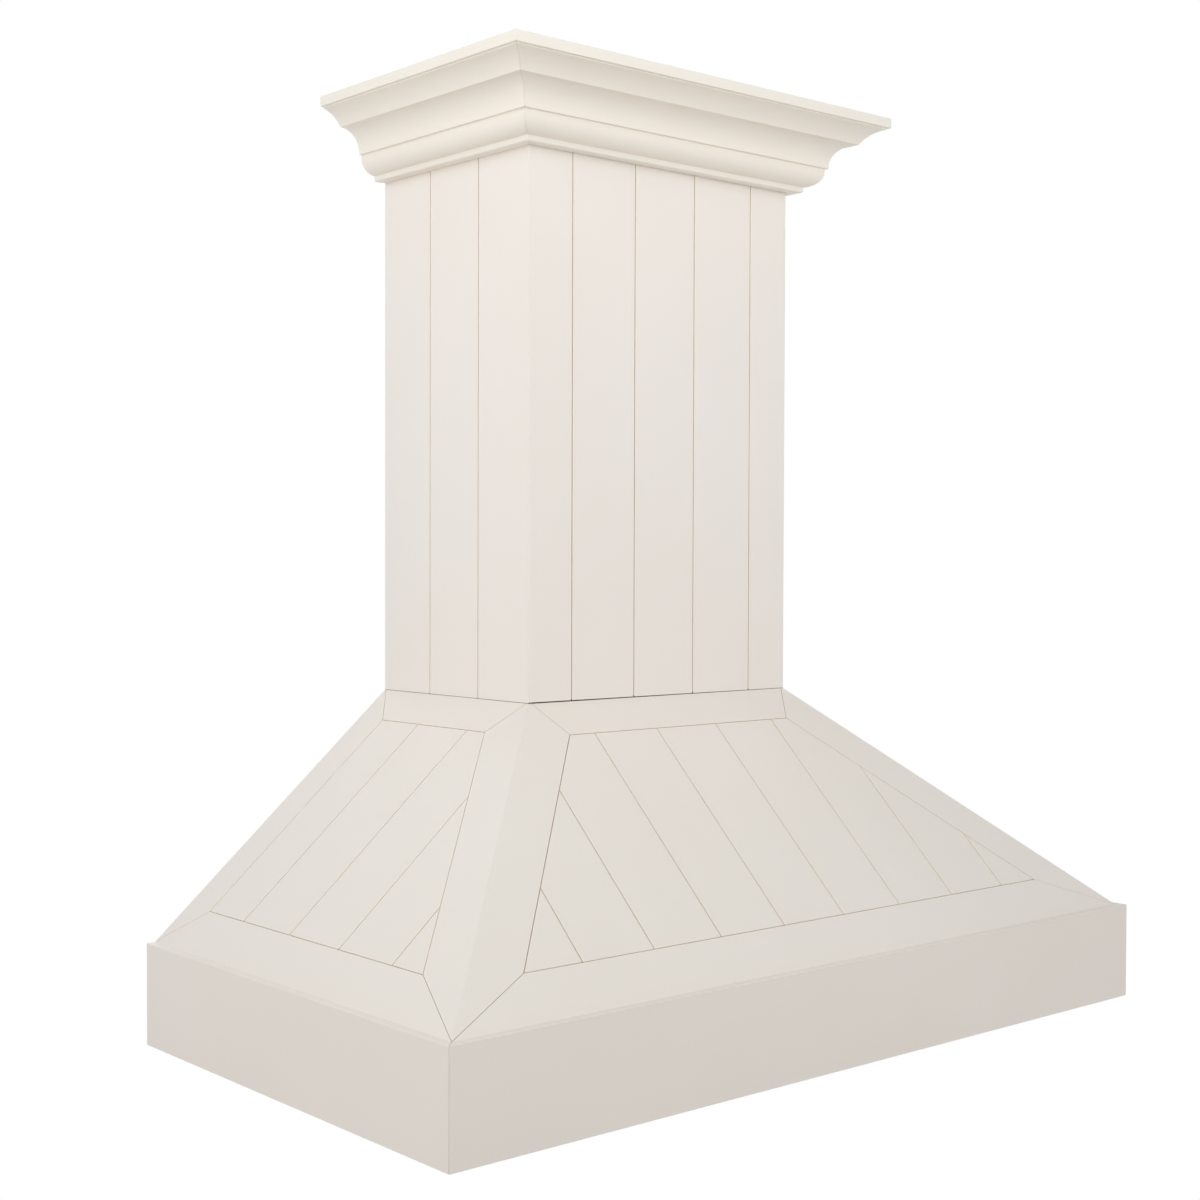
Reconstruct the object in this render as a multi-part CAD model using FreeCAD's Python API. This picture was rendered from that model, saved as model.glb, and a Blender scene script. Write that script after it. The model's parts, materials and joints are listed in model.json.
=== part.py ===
import FreeCAD, Part
import math
import os

# A painted wooden wall hood with a steel extractor insert, in millimetres.
# Origin: on the wall, at the middle of the bottom edge. The front faces -Y and +Z is up.

# Outer sizes of the wooden hood
HOOD_WIDTH = 914.0
HOOD_DEPTH = 500.0
APRON_HEIGHT = 100.0
CANOPY_TOP = 337.0
CHIMNEY_WIDTH = 356.0
CHIMNEY_DEPTH = 247.5
TOTAL_HEIGHT = 954.0
APRON_REVEAL = 9.0

# Timber sections
APRON_BOARD = 18.0
FRAME_BOARD = 18.0
SLOPE_BOARD = 9.0
CHIMNEY_BOARD = 12.0
BACK_RAIL = 18.0
LEDGER = 20.0
BATTEN_THICK = 15.0
BATTEN_HEIGHT = 40.0
BACK_RAIL_HEIGHT = 60.0
BATTEN_BELOW_TOP = 6.0
FOOT_GAP_LEFT = 1.1
FOOT_GAP_RIGHT = 0.3
CHIMNEY_OVERHANG = 2.0

# Frames and shiplap of the slopes
BOTTOM_RAIL = 48.0
TOP_RAIL = 44.5
HIP_STILE = 47.0
BACK_STILE = 42.5
FRAME_LIP = 12.0
FRAME_GAP = 0.7
MITRE_GAP = 0.8
BOARD_PITCH = 82.5
BOARD_GAP = 1.0
BOARD_LAP = 8.0
FRONT_BOARD_SHIFT = 3.8
SIDE_FIRST_GROOVE = 107.7

# Crown moulding, from its lower edge upwards
CROWN_BED_RUN = 13.5
CROWN_BED_RISE = 6.0
CROWN_BED_BEVEL = 1.2
CROWN_BACK_EASE = 0.8
OVOLO_RADIUS = 16.5
CROWN_STEP_RUN = 3.0
CROWN_STEP_RISE = 5.5
CROWN_STEP_LIP = 2.5
COVE_RADIUS = 23.0
UPPER_COVE_RUN = 21.0
UPPER_COVE_RISE = 16.3
UPPER_COVE_HOLLOW = 2.7
CROWN_FILLET = 1.2
CROWN_LEDGE = 3.5
CROWN_FASCIA = 10.5
CROWN_WALL_FLAT = 21.0
CROWN_BLOCK_LENGTH = 60.0
CROWN_BLOCK_DROP = 4.0

# Hanging holes for two studs
STUD_SPACING = 406.4
HANGING_HOLE_R = 3.5
HANGING_LOW_Z = 76.0
HANGING_HIGH_Z = 250.0
HANGING_RAIL_HEIGHT = 50.0

# Steel insert: tray and filters
SHEET = 1.2
TRAY_Z = 14.0
TRAY_WALL = 28.0
TRAY_CLEARANCE = 0.5
FILTER_COUNT = 3
BAY_SIDE_MARGIN = 44.5
FILTER_SIDE_GAP = 2.0
FILTER_BAY_REAR = 68.0
CONTROL_STRIP = 89.5
FILTER_REAR_GAP = 1.0
FILTER_FRONT_GAP = 1.5
FILTER_SEAT_GAP = 0.4
FILTER_HEIGHT = 12.0
FILTER_SHEET = 1.0
FILTER_FLANGE = 15.0
FILTER_FRONT_FLANGE = 32.0
TONGUE_LENGTH = 7.5
TONGUE_WIDTH = 20.0
TONGUE_SPACING = 160.0
BAFFLE_COUNT = 7
BAFFLE_SHEET = 0.8
BAFFLE_WIDTH = 22.0
BAFFLE_OVERLAP = 4.5
BAFFLE_LEG = 5.2
BAFFLE_FRONT_GAP = 22.0

# Filter latches
LATCH_WIDTH = 30.0
LATCH_BODY = 14.0
LATCH_REACH = 5.0
LATCH_THICK = 1.2
LATCH_TRAVEL = 7.0
LATCH_CLEARANCE = 0.4
LATCH_STEM = 8.0
LATCH_PAD_LENGTH = 24.0
LATCH_PAD_WIDTH = 10.0
LATCH_PAD_THICK = 3.0

# Controls and lamps on the front strip
CONTROL_SETBACK = 39.5
BUTTON_NAMES = ("power", "light", "slower", "faster", "timer")
BUTTON_PITCH = 28.0
BUTTON_LENGTH = 20.0
BUTTON_WIDTH = 12.0
BUTTON_RIM = 2.0
BUTTON_RIM_THICK = 1.6
BUTTON_PROUD = 4.0
BUTTON_CHAMFER = 1.0
BUTTON_CLEARANCE = 0.35
BUTTON_STEM_SIDE = 6.0
BUTTON_TRAVEL = 2.0
BUTTON_STOP_GAP = 0.5
DISPLAY_X = 112.0
DISPLAY_LENGTH = 44.0
DISPLAY_WIDTH = 16.0
DISPLAY_THICK = 3.2
DISPLAY_FLANGE = 3.0
BOARD_MARGIN = 18.0
BOARD_WIDTH = 38.0
BOARD_THICK = 1.6
BOARD_STANDOFF = 7.0
BOARD_LEG = 6.0
LAMP_LENGTH = 170.0
LAMP_WIDTH = 30.0
LAMP_WALL = 3.0
LAMP_BEZEL = 2.0
LAMP_BEZEL_RIM = 5.0
LAMP_HEIGHT = 22.0
LAMP_LENS_THICK = 2.4
LAMP_LENS_BEVEL = 1.2
LAMP_CLEARANCE = 0.4

# Plenum and blower housing
HOPPER_MARGIN = 12.0
HOPPER_SHEET = 1.0
HOPPER_SKIRT = 45.0
HOUSING_Z = 106.0
HOUSING_TOP = 290.0
HOUSING_SIDE_GAP = 1.0
HOUSING_FRONT_ROOM = 87.0
FAN_Z = 196.0
SCROLL_START_R = 68.0
SCROLL_GROWTH = 6.0
SCROLL_WIDTH = 104.0
SCROLL_FLANGE = 12.0
INLET_R = 51.0

# Fan wheel and motor
WHEEL_R = 62.0
WHEEL_WIDTH = 96.0
WHEEL_RING = 2.0
BLADE_COUNT = 28
BLADE_DEPTH = 10.0
BLADE_THICK = 1.0
BLADE_LEAD = 8.0
HUB_R = 11.0
HUB_LENGTH = 24.0
SHAFT_R = 4.0
SHAFT_CLEARANCE = 0.06
MOTOR_R = 36.0
MOTOR_LENGTH = 58.0
MOTOR_STANDOFF = 13.0
BRACKET_THICK = 2.0
BRACKET_ARM = 12.0
BRACKET_PLATE = 44.0
BRACKET_REACH = 70.0

# Duct collar and its backdraft flaps
COLLAR_R = 75.4
COLLAR_HEIGHT = 82.0
COLLAR_BASE = 172.0
DAMPER_ABOVE = 12.0
DAMPER_OFFSET = 5.0
DAMPER_ROD_R = 1.5
DAMPER_FIT = 0.06
KNUCKLE_R = 2.8
KNUCKLE_LENGTH = 120.0
FLAP_SHEET = 0.8
FLAP_EDGE_GAP = 1.7
FLAP_STOP = 8.0
FLAP_STOP_REACH = 5.0
FLAP_STOP_GAP = 0.4

# Mains box on the blower housing
MAINS_FROM_SIDE = 47.0
MAINS_Y = -70.0
MAINS_WIDTH = 56.0
MAINS_DEPTH = 60.0
MAINS_HEIGHT = 40.0
CABLE_HOLE_R = 11.0
CABLE_HUB_WALL = 2.5
CABLE_HUB_HEIGHT = 13.0

# Screws, drawn with flat sides
SCREW_SIDES = 6
SCREW_R = 2.0
SCREW_HEAD_R = 4.5
SCREW_HEAD = 2.2
SCREW_LENGTH = 13.0
SCREW_HOLE_CLEARANCE = 0.2

# Levels and lines worked out from the sizes above
V = FreeCAD.Vector
HALF_WIDTH = HOOD_WIDTH / 2
HALF_CHIMNEY = CHIMNEY_WIDTH / 2
SLOPE_RISE = CANOPY_TOP - APRON_HEIGHT
BASE_HALF = HALF_WIDTH - APRON_REVEAL
BASE_DEPTH = HOOD_DEPTH - APRON_REVEAL
RIM_HALF = HALF_CHIMNEY - CHIMNEY_OVERHANG
RIM_DEPTH = CHIMNEY_DEPTH - CHIMNEY_OVERHANG
FRONT_LENGTH = math.hypot(BASE_DEPTH - RIM_DEPTH, SLOPE_RISE)
SIDE_LENGTH = math.hypot(BASE_HALF - RIM_HALF, SLOPE_RISE)
FRONT_SPREAD = FRONT_LENGTH / SLOPE_RISE
SIDE_SPREAD = SIDE_LENGTH / SLOPE_RISE
FRONT_GRADE = SLOPE_RISE / (BASE_DEPTH - RIM_DEPTH)
SIDE_GRADE = SLOPE_RISE / (BASE_HALF - RIM_HALF)
TRAY_TOP = TRAY_Z + SHEET
TRAY_HALF = HALF_WIDTH - APRON_BOARD - TRAY_CLEARANCE
TRAY_FRONT = -(HOOD_DEPTH - APRON_BOARD - TRAY_CLEARANCE)
TRAY_REAR = -(BACK_RAIL + TRAY_CLEARANCE)
BAY_HALF = TRAY_HALF - BAY_SIDE_MARGIN
BAY_REAR = -FILTER_BAY_REAR
BAY_FRONT = TRAY_FRONT + CONTROL_STRIP
FILTER_PITCH = (2 * BAY_HALF - FILTER_SIDE_GAP) / FILTER_COUNT
CONTROL_Y = TRAY_FRONT + CONTROL_SETBACK
CONTROL_END = DISPLAY_X + DISPLAY_LENGTH / 2 + DISPLAY_FLANGE
LAMP_X = (CONTROL_END + TRAY_HALF) / 2
FILTER_Z = TRAY_TOP + FILTER_SEAT_GAP
FILTER_HALF = (FILTER_PITCH - FILTER_SIDE_GAP) / 2
FILTER_REAR = BAY_REAR - FILTER_REAR_GAP
FILTER_FRONT = BAY_FRONT + FILTER_FRONT_GAP
SCROLL_END = SCROLL_START_R + 4 * SCROLL_GROWTH
COLLAR_Y = -(BACK_RAIL + CHIMNEY_DEPTH - CHIMNEY_BOARD - BATTEN_THICK) / 2
FAN_Y = COLLAR_Y - SCROLL_END / 2
HOUSING_HALF = HALF_CHIMNEY - CHIMNEY_BOARD - HOUSING_SIDE_GAP
HOUSING_FRONT = HOUSING_FRONT_ROOM - FAN_Y
HOUSING_REAR = -BACK_RAIL
MAINS_X = MAINS_FROM_SIDE - HOUSING_HALF
COLLAR_BORE_R = COLLAR_R - SHEET
DAMPER_Z = HOUSING_TOP + DAMPER_ABOVE
CROWN_RISES = (CROWN_BED_RISE, OVOLO_RADIUS, CROWN_STEP_RISE, COVE_RADIUS, UPPER_COVE_RISE,
               CROWN_FILLET, CROWN_FASCIA)
CROWN_BOTTOM = TOTAL_HEIGHT - sum(CROWN_RISES)
CROWN_PROJECTION = (CROWN_BED_RUN + OVOLO_RADIUS + CROWN_STEP_RUN + COVE_RADIUS
                    + UPPER_COVE_RUN + CROWN_LEDGE)
CHIMNEY_TOP = TOTAL_HEIGHT - BATTEN_BELOW_TOP


def box(x0, x1, y0, y1, z0, z1):
    return Part.makeBox(x1 - x0, y1 - y0, z1 - z0, V(x0, y0, z0))


def rod(radius, start, end):
    return Part.makeCylinder(radius, (end - start).Length, start, end - start)


def faceted_rod(radius, start, end):
    """A round bar drawn with flat sides."""
    along = end - start
    across = along.cross(V(0, 0, 1)).normalize() * radius
    over = along.cross(across).normalize() * radius
    angles = [2 * math.pi * i / SCREW_SIDES for i in range(SCREW_SIDES)]
    return flat([start + across * math.cos(t) + over * math.sin(t) for t in angles]).extrude(along)


def flat(points):
    return Part.Face(Part.makePolygon(points + points[:1]))


def plan_prism(outline, z0, z1):
    """Extrudes an outline drawn in plan, from one height to another."""
    face = flat([V(x, y, z0) for x, y in outline])
    return face.extrude(V(0, 0, z1 - z0))


def rectangle(a0, a1, b0, b1):
    return [(a0, b0), (a1, b0), (a1, b1), (a0, b1)]


def prismatoid(outer, inner):
    """Closes two matching flat outlines with flat sides."""
    faces = [flat(outer), flat(inner)]
    count = len(outer)
    for i in range(count):
        j = (i + 1) % count
        faces.append(flat([outer[i], outer[j], inner[j], inner[i]]))
    solid = Part.makeSolid(Part.makeShell(faces))
    solid.fixTolerance(1e-5)
    return solid if solid.Volume > 0 else solid.reversed()


def mirrored(shapes):
    return [shape.mirror(V(0, 0, 0), V(1, 0, 0)) for shape in shapes]


def cut_all(shape, tools):
    return shape.cut(tools).removeSplitter()


def save(node, solids):
    shape = solids[0] if len(solids) == 1 else Part.makeCompound(solids)
    shape.exportStep("parts/" + node + ".step")


def inset(outline, widths):
    """Moves each edge of an anticlockwise convex outline inwards by its own width."""
    lines = []
    for start, end, width in zip(outline, outline[1:] + outline[:1], widths):
        length = math.dist(start, end)
        dx = (end[0] - start[0]) / length
        dy = (end[1] - start[1]) / length
        lines.append((start[0] - dy * width, start[1] + dx * width, dx, dy))
    corners = []
    for before, after in zip(lines[-1:] + lines[:-1], lines):
        px, py, ux, uy = before
        qx, qy, vx, vy = after
        t = ((qx - px) * vy - (qy - py) * vx) / (ux * vy - uy * vx)
        corners.append((px + ux * t, py + uy * t))
    return corners


class Panel:
    """A flat outer face: a runs along it, b up it, and depth goes into the timber."""

    def __init__(self, origin, along, up):
        self.origin = origin
        self.along = along
        self.up = up
        self.inward = up.cross(along)

    def point(self, a, b, depth=0.0):
        return self.origin + self.along * a + self.up * b + self.inward * depth

    def prism(self, outline, depth0, depth1):
        face = flat([self.point(a, b, depth0) for a, b in outline])
        return face.extrude(self.inward * (depth1 - depth0))


def shiplap(panel, edges, b0, b1, thickness, field):
    """Boards side by side, each with a half-thick lap that runs under the next one."""
    half = thickness / 2
    boards = []
    for left, right in zip(edges, edges[1:]):
        is_first = left == edges[0]
        is_last = right == edges[-1]
        face_left = left if is_first else left + BOARD_GAP / 2
        face_right = right if is_last else right - BOARD_GAP / 2
        lap_left = left if is_first else face_left + BOARD_LAP
        lap_right = right if is_last else face_right + BOARD_LAP
        face = panel.prism(rectangle(face_left, face_right, b0, b1), 0, half)
        lap = panel.prism(rectangle(lap_left, lap_right, b0, b1), half, thickness)
        boards.append(face.fuse(lap).common(field).removeSplitter())
    return boards


def base_corner(depth, side=-1):
    """Corner of the canopy where it stands on the apron, at a depth in the timber."""
    return V(side * (BASE_HALF - depth * SIDE_SPREAD), -BASE_DEPTH + depth * FRONT_SPREAD, APRON_HEIGHT)


def rim_corner(depth, side=-1):
    """Corner of the canopy's flat rim under the chimney, at a depth in the timber."""
    return V(side * (RIM_HALF - depth * SIDE_SPREAD), -RIM_DEPTH + depth * FRONT_SPREAD, CANOPY_TOP)


def on_wall(point):
    return V(point.x, 0, point.z)


def front_outline_at(depth):
    return [base_corner(depth), base_corner(depth, 1), rim_corner(depth, 1), rim_corner(depth)]


def left_outline_at(depth):
    return [on_wall(base_corner(depth)), base_corner(depth), rim_corner(depth), on_wall(rim_corner(depth))]


def beyond(corner, inner):
    """Carries a mitre line past the outer corner, where the bevels then trim it."""
    return (2 * corner[0] - inner[0], 2 * corner[1] - inner[1])


def framed_slope(panel, outline, widths, grooves, outline_at):
    """One slope of the canopy: mitred frame pieces and the shiplap that lies on their lips."""
    wedge = prismatoid(outline_at(-2.0), outline_at(FRAME_BOARD))
    opening = inset(outline, widths)
    seat = inset(opening, [FRAME_LIP] * 4)
    pieces = []
    for i in range(4):
        j = (i + 1) % 4
        length = math.dist(outline[i], outline[j])
        step_a = (outline[j][0] - outline[i][0]) / length * MITRE_GAP / 2
        step_b = (outline[j][1] - outline[i][1]) / length * MITRE_GAP / 2
        near = [(a + step_a, b + step_b) for a, b in (beyond(outline[i], opening[i]), opening[i])]
        far = [(a - step_a, b - step_b) for a, b in (beyond(outline[j], opening[j]), opening[j])]
        face = panel.prism([near[0], far[0], far[1], near[1]], 0, SLOPE_BOARD)
        lip = panel.prism([beyond(outline[i], seat[i]), beyond(outline[j], seat[j]), seat[j], seat[i]],
                          SLOPE_BOARD, FRAME_BOARD)
        pieces.append(face.fuse(lip).common(wedge).removeSplitter())
    field = inset(opening, [FRAME_GAP] * 4)
    edges = [min(a for a, b in field)] + grooves + [max(a for a, b in field)]
    low = min(b for a, b in field)
    high = max(b for a, b in field)
    boards = shiplap(panel, edges, low, high, SLOPE_BOARD, panel.prism(field, 0, SLOPE_BOARD))
    return pieces, boards


def make_apron():
    inner_half = HALF_WIDTH - APRON_BOARD
    inner_front = -(HOOD_DEPTH - APRON_BOARD)
    front = plan_prism([(-HALF_WIDTH, -HOOD_DEPTH), (HALF_WIDTH, -HOOD_DEPTH),
                        (inner_half, inner_front), (-inner_half, inner_front)], 0, APRON_HEIGHT)
    left = plan_prism([(-HALF_WIDTH, 0), (-HALF_WIDTH, -HOOD_DEPTH),
                       (-inner_half, inner_front), (-inner_half, 0)], 0, APRON_HEIGHT)
    back = box(-inner_half, inner_half, -BACK_RAIL, 0, 0, APRON_HEIGHT)
    holes = []
    for side in (-1, 1):
        x = side * STUD_SPACING / 2
        holes.append(rod(HANGING_HOLE_R, V(x, -BACK_RAIL - 1, HANGING_LOW_Z), V(x, 1, HANGING_LOW_Z)))
    pilots = [pilot for shape, pilot in tray_screws()]
    save("apron_front", [cut_all(front, pilots)])
    save("apron_left", [cut_all(left, pilots)])
    save("apron_right", [cut_all(mirrored([left])[0], pilots)])
    save("apron_back", [cut_all(back, pilots + holes)])
    low = APRON_HEIGHT - LEDGER
    ledgers = [
        box(-inner_half, inner_half, inner_front, inner_front + LEDGER, low, APRON_HEIGHT),
        box(-inner_half, -inner_half + LEDGER, inner_front + LEDGER, -BACK_RAIL, low, APRON_HEIGHT),
        box(inner_half - LEDGER, inner_half, inner_front + LEDGER, -BACK_RAIL, low, APRON_HEIGHT),
    ]
    save("canopy_ledgers", ledgers)


def make_slopes():
    up_front = (rim_corner(0) - base_corner(0))
    front = Panel(V(0, -BASE_DEPTH, APRON_HEIGHT), V(1, 0, 0), V(0, up_front.y, up_front.z).normalize())
    outline = [(-BASE_HALF, 0), (BASE_HALF, 0), (RIM_HALF, FRONT_LENGTH), (-RIM_HALF, FRONT_LENGTH)]
    widths = [BOTTOM_RAIL, HIP_STILE, TOP_RAIL, HIP_STILE]
    field_half = BASE_HALF - HIP_STILE * 2
    reach = int(field_half / BOARD_PITCH - 0.5)
    grooves = [(i + 0.5) * BOARD_PITCH + FRONT_BOARD_SHIFT for i in range(-reach - 1, reach + 1)]
    pieces, boards = framed_slope(front, outline, widths, grooves, front_outline_at)
    save("front_slope_rails", [pieces[0], pieces[2]])
    save("front_slope_stiles", [pieces[1], pieces[3]])
    save("front_slope_boards", boards)
    left = Panel(V(-BASE_HALF, 0, APRON_HEIGHT), V(0, -1, 0), V(up_front.x, 0, up_front.z).normalize())
    outline = [(0, 0), (BASE_DEPTH, 0), (RIM_DEPTH, SIDE_LENGTH), (0, SIDE_LENGTH)]
    widths = [BOTTOM_RAIL, HIP_STILE, TOP_RAIL, BACK_STILE]
    count = int((BASE_DEPTH - HIP_STILE * 2 - SIDE_FIRST_GROOVE) / BOARD_PITCH) + 1
    grooves = [SIDE_FIRST_GROOVE + i * BOARD_PITCH for i in range(count)]
    pieces, boards = framed_slope(left, outline, widths, grooves, left_outline_at)
    for side, turn in (("left", list), ("right", mirrored)):
        save(side + "_slope_rails", turn([pieces[0], pieces[2]]))
        save(side + "_slope_stiles", turn([pieces[1], pieces[3]]))
        save(side + "_slope_boards", turn(boards))


FRONT_CHIMNEY = Panel(V(0, -CHIMNEY_DEPTH, 0), V(1, 0, 0), V(0, 0, 1))
LEFT_CHIMNEY = Panel(V(-HALF_CHIMNEY, 0, 0), V(0, -1, 0), V(0, 0, 1))


def scribed_foot(panel, grade, ends, gaps):
    """What the boards lose at the foot: they stand on the rim and their outer lip follows the slope."""
    outlines = []
    for a, gap in zip(ends, gaps):
        level = CANOPY_TOP + gap
        outlines.append([panel.point(a, level - 2 * CHIMNEY_OVERHANG * grade, -CHIMNEY_OVERHANG),
                         panel.point(a, level, CHIMNEY_OVERHANG),
                         panel.point(a, level, CHIMNEY_BOARD + 1),
                         panel.point(a, level - 2 * CHIMNEY_BOARD, CHIMNEY_BOARD + 1)])
    return prismatoid(outlines[0], outlines[1])


def make_chimney():
    low = CANOPY_TOP - CHIMNEY_OVERHANG * FRONT_GRADE
    side_low = CANOPY_TOP - CHIMNEY_OVERHANG * SIDE_GRADE
    inner_half = HALF_CHIMNEY - CHIMNEY_BOARD
    inner_front = -(CHIMNEY_DEPTH - CHIMNEY_BOARD)
    front_field = plan_prism([(-HALF_CHIMNEY, -CHIMNEY_DEPTH), (HALF_CHIMNEY, -CHIMNEY_DEPTH),
                              (inner_half, inner_front), (-inner_half, inner_front)], low, CHIMNEY_TOP)
    front_field = front_field.cut(scribed_foot(FRONT_CHIMNEY, FRONT_GRADE, (-HALF_CHIMNEY, HALF_CHIMNEY),
                                               (FOOT_GAP_LEFT, FOOT_GAP_RIGHT)))
    left_field = plan_prism([(-HALF_CHIMNEY, 0), (-HALF_CHIMNEY, -CHIMNEY_DEPTH),
                             (-inner_half, inner_front), (-inner_half, 0)], side_low, CHIMNEY_TOP)
    left_field = left_field.cut(scribed_foot(LEFT_CHIMNEY, SIDE_GRADE, (0, CHIMNEY_DEPTH),
                                             (FOOT_GAP_RIGHT, FOOT_GAP_RIGHT)))
    reach = int(HALF_CHIMNEY / BOARD_PITCH - 0.5)
    grooves = [(i + 0.5) * BOARD_PITCH for i in range(-reach - 1, reach + 1)]
    edges = [-HALF_CHIMNEY] + grooves + [HALF_CHIMNEY]
    save("chimney_front_boards", shiplap(FRONT_CHIMNEY, edges, low, CHIMNEY_TOP, CHIMNEY_BOARD, front_field))
    count = math.ceil(CHIMNEY_DEPTH / BOARD_PITCH - 0.01)
    edges = [i * BOARD_PITCH for i in range(count)] + [CHIMNEY_DEPTH]
    boards = shiplap(LEFT_CHIMNEY, edges, side_low, CHIMNEY_TOP, CHIMNEY_BOARD, left_field)
    save("chimney_left_boards", boards)
    save("chimney_right_boards", mirrored(boards))
    battens = []
    for z in (CANOPY_TOP, CHIMNEY_TOP - BATTEN_HEIGHT):
        side_front = inner_front + BATTEN_THICK
        battens.append(box(-inner_half, inner_half, inner_front, side_front, z, z + BATTEN_HEIGHT))
        side = box(-inner_half, -inner_half + BATTEN_THICK, side_front, -BACK_RAIL, z, z + BATTEN_HEIGHT)
        battens += [side] + mirrored([side])
    save("chimney_battens", battens)
    rails = []
    for z in (CANOPY_TOP, CHIMNEY_TOP - BACK_RAIL_HEIGHT):
        rails.append(box(-inner_half, inner_half, -BACK_RAIL, 0, z, z + BACK_RAIL_HEIGHT))
    save("chimney_back_rails", rails)


def crown_outline(panel, start):
    """Closed section of the moulding: bed, ovolo, step, cove, upper cove, fillet, fascia, sloping back."""
    def at(out, z):
        return panel.point(start, z, -out)

    bed_z = CROWN_BOTTOM + CROWN_BED_RISE
    ovolo_out = CROWN_BED_RUN + OVOLO_RADIUS
    ovolo_z = bed_z + OVOLO_RADIUS
    cove_out = ovolo_out + CROWN_STEP_RUN
    cove_z = ovolo_z + CROWN_STEP_RISE
    arris_out = cove_out + COVE_RADIUS
    arris_z = cove_z + COVE_RADIUS
    ledge_out = arris_out + UPPER_COVE_RUN
    ledge_z = arris_z + UPPER_COVE_RISE
    slant = math.hypot(UPPER_COVE_RUN, UPPER_COVE_RISE)
    mid_out = (arris_out + ledge_out) / 2 - UPPER_COVE_HOLLOW * UPPER_COVE_RISE / slant
    mid_z = (arris_z + ledge_z) / 2 + UPPER_COVE_HOLLOW * UPPER_COVE_RUN / slant
    quarter = math.sqrt(0.5)
    back_run = TOTAL_HEIGHT - CROWN_BOTTOM - CROWN_WALL_FLAT
    lower = [at(0, CROWN_BOTTOM + CROWN_BACK_EASE), at(CROWN_BACK_EASE, CROWN_BOTTOM),
             at(CROWN_BED_RUN - CROWN_BED_BEVEL, CROWN_BOTTOM),
             at(CROWN_BED_RUN, CROWN_BOTTOM + CROWN_BED_BEVEL), at(CROWN_BED_RUN, bed_z)]
    step_z = cove_z - CROWN_STEP_LIP
    step = [at(ovolo_out, ovolo_z), at(ovolo_out, step_z), at(cove_out, step_z), at(cove_out, cove_z)]
    fascia_z = ledge_z + CROWN_FILLET
    upper = [at(ledge_out, ledge_z), at(ledge_out, fascia_z), at(CROWN_PROJECTION, fascia_z),
             at(CROWN_PROJECTION, TOTAL_HEIGHT), at(back_run, TOTAL_HEIGHT),
             at(0, CROWN_BOTTOM + CROWN_WALL_FLAT), lower[0]]
    ovolo_mid = at(CROWN_BED_RUN + OVOLO_RADIUS * quarter, ovolo_z - OVOLO_RADIUS * quarter)
    cove_mid = at(arris_out - COVE_RADIUS * quarter, cove_z + COVE_RADIUS * quarter)
    arris = at(arris_out, arris_z)
    edges = Part.makePolygon(lower).Edges
    edges.append(Part.Arc(lower[-1], ovolo_mid, step[0]).toShape())
    edges += Part.makePolygon(step).Edges
    edges.append(Part.Arc(step[-1], cove_mid, arris).toShape())
    edges.append(Part.Arc(arris, at(mid_out, mid_z), upper[0]).toShape())
    edges += Part.makePolygon(upper).Edges
    return Part.Face(Part.Wire(edges))


def make_crown():
    reach = CROWN_PROJECTION + 5.0
    low = CROWN_BOTTOM - 1
    high = TOTAL_HEIGHT + 1
    wide = HALF_CHIMNEY + reach
    deep = CHIMNEY_DEPTH + reach
    front_field = plan_prism([(-HALF_CHIMNEY, -CHIMNEY_DEPTH), (HALF_CHIMNEY, -CHIMNEY_DEPTH),
                              (wide, -deep), (-wide, -deep)], low, high)
    left_field = plan_prism([(-HALF_CHIMNEY, 0), (-wide, 0), (-wide, -deep),
                             (-HALF_CHIMNEY, -CHIMNEY_DEPTH)], low, high)
    front = crown_outline(FRONT_CHIMNEY, -wide).extrude(V(2 * wide, 0, 0)).common(front_field)
    left = crown_outline(LEFT_CHIMNEY, 0).extrude(V(0, -deep, 0)).common(left_field)
    save("crown_front", [front])
    save("crown_left", [left])
    save("crown_right", mirrored([left]))
    foot = CROWN_BOTTOM + CROWN_WALL_FLAT
    top = TOTAL_HEIGHT - CROWN_BLOCK_DROP

    def block(panel, middle):
        start = middle - CROWN_BLOCK_LENGTH / 2
        face = flat([panel.point(start, foot), panel.point(start, top), panel.point(start, top, foot - top)])
        return face.extrude(panel.along * CROWN_BLOCK_LENGTH)

    side = block(LEFT_CHIMNEY, CHIMNEY_DEPTH / 2)
    blocks = [block(FRONT_CHIMNEY, x) for x in (-CHIMNEY_WIDTH / 4, CHIMNEY_WIDTH / 4)]
    save("crown_blocks", blocks + [side] + mirrored([side]))


def make_hanging_rail():
    low = HANGING_HIGH_Z - HANGING_RAIL_HEIGHT / 2
    high = HANGING_HIGH_Z + HANGING_RAIL_HEIGHT / 2

    def half_at(z):
        run = (BASE_HALF - RIM_HALF) * (z - APRON_HEIGHT) / SLOPE_RISE
        return BASE_HALF - run - FRAME_BOARD * SIDE_SPREAD

    rail = flat([V(-half_at(low), 0, low), V(half_at(low), 0, low),
                 V(half_at(high), 0, high), V(-half_at(high), 0, high)]).extrude(V(0, -BACK_RAIL, 0))
    holes = []
    for side in (-1, 1):
        x = side * STUD_SPACING / 2
        holes.append(rod(HANGING_HOLE_R, V(x, -BACK_RAIL - 1, HANGING_HIGH_Z), V(x, 1, HANGING_HIGH_Z)))
    pilots = [pilot for shape, pilot in housing_screws()]
    save("upper_hanging_rail", [cut_all(rail, holes + pilots)])


def screw(seat, inward):
    """A screw whose head lies on a sheet at the seat, and the pilot hole that its shank fills."""
    shank = faceted_rod(SCREW_R, seat, seat + inward * SCREW_LENGTH)
    head = faceted_rod(SCREW_HEAD_R, seat - inward * SCREW_HEAD, seat)
    return shank.fuse(head).removeSplitter(), shank


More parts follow.
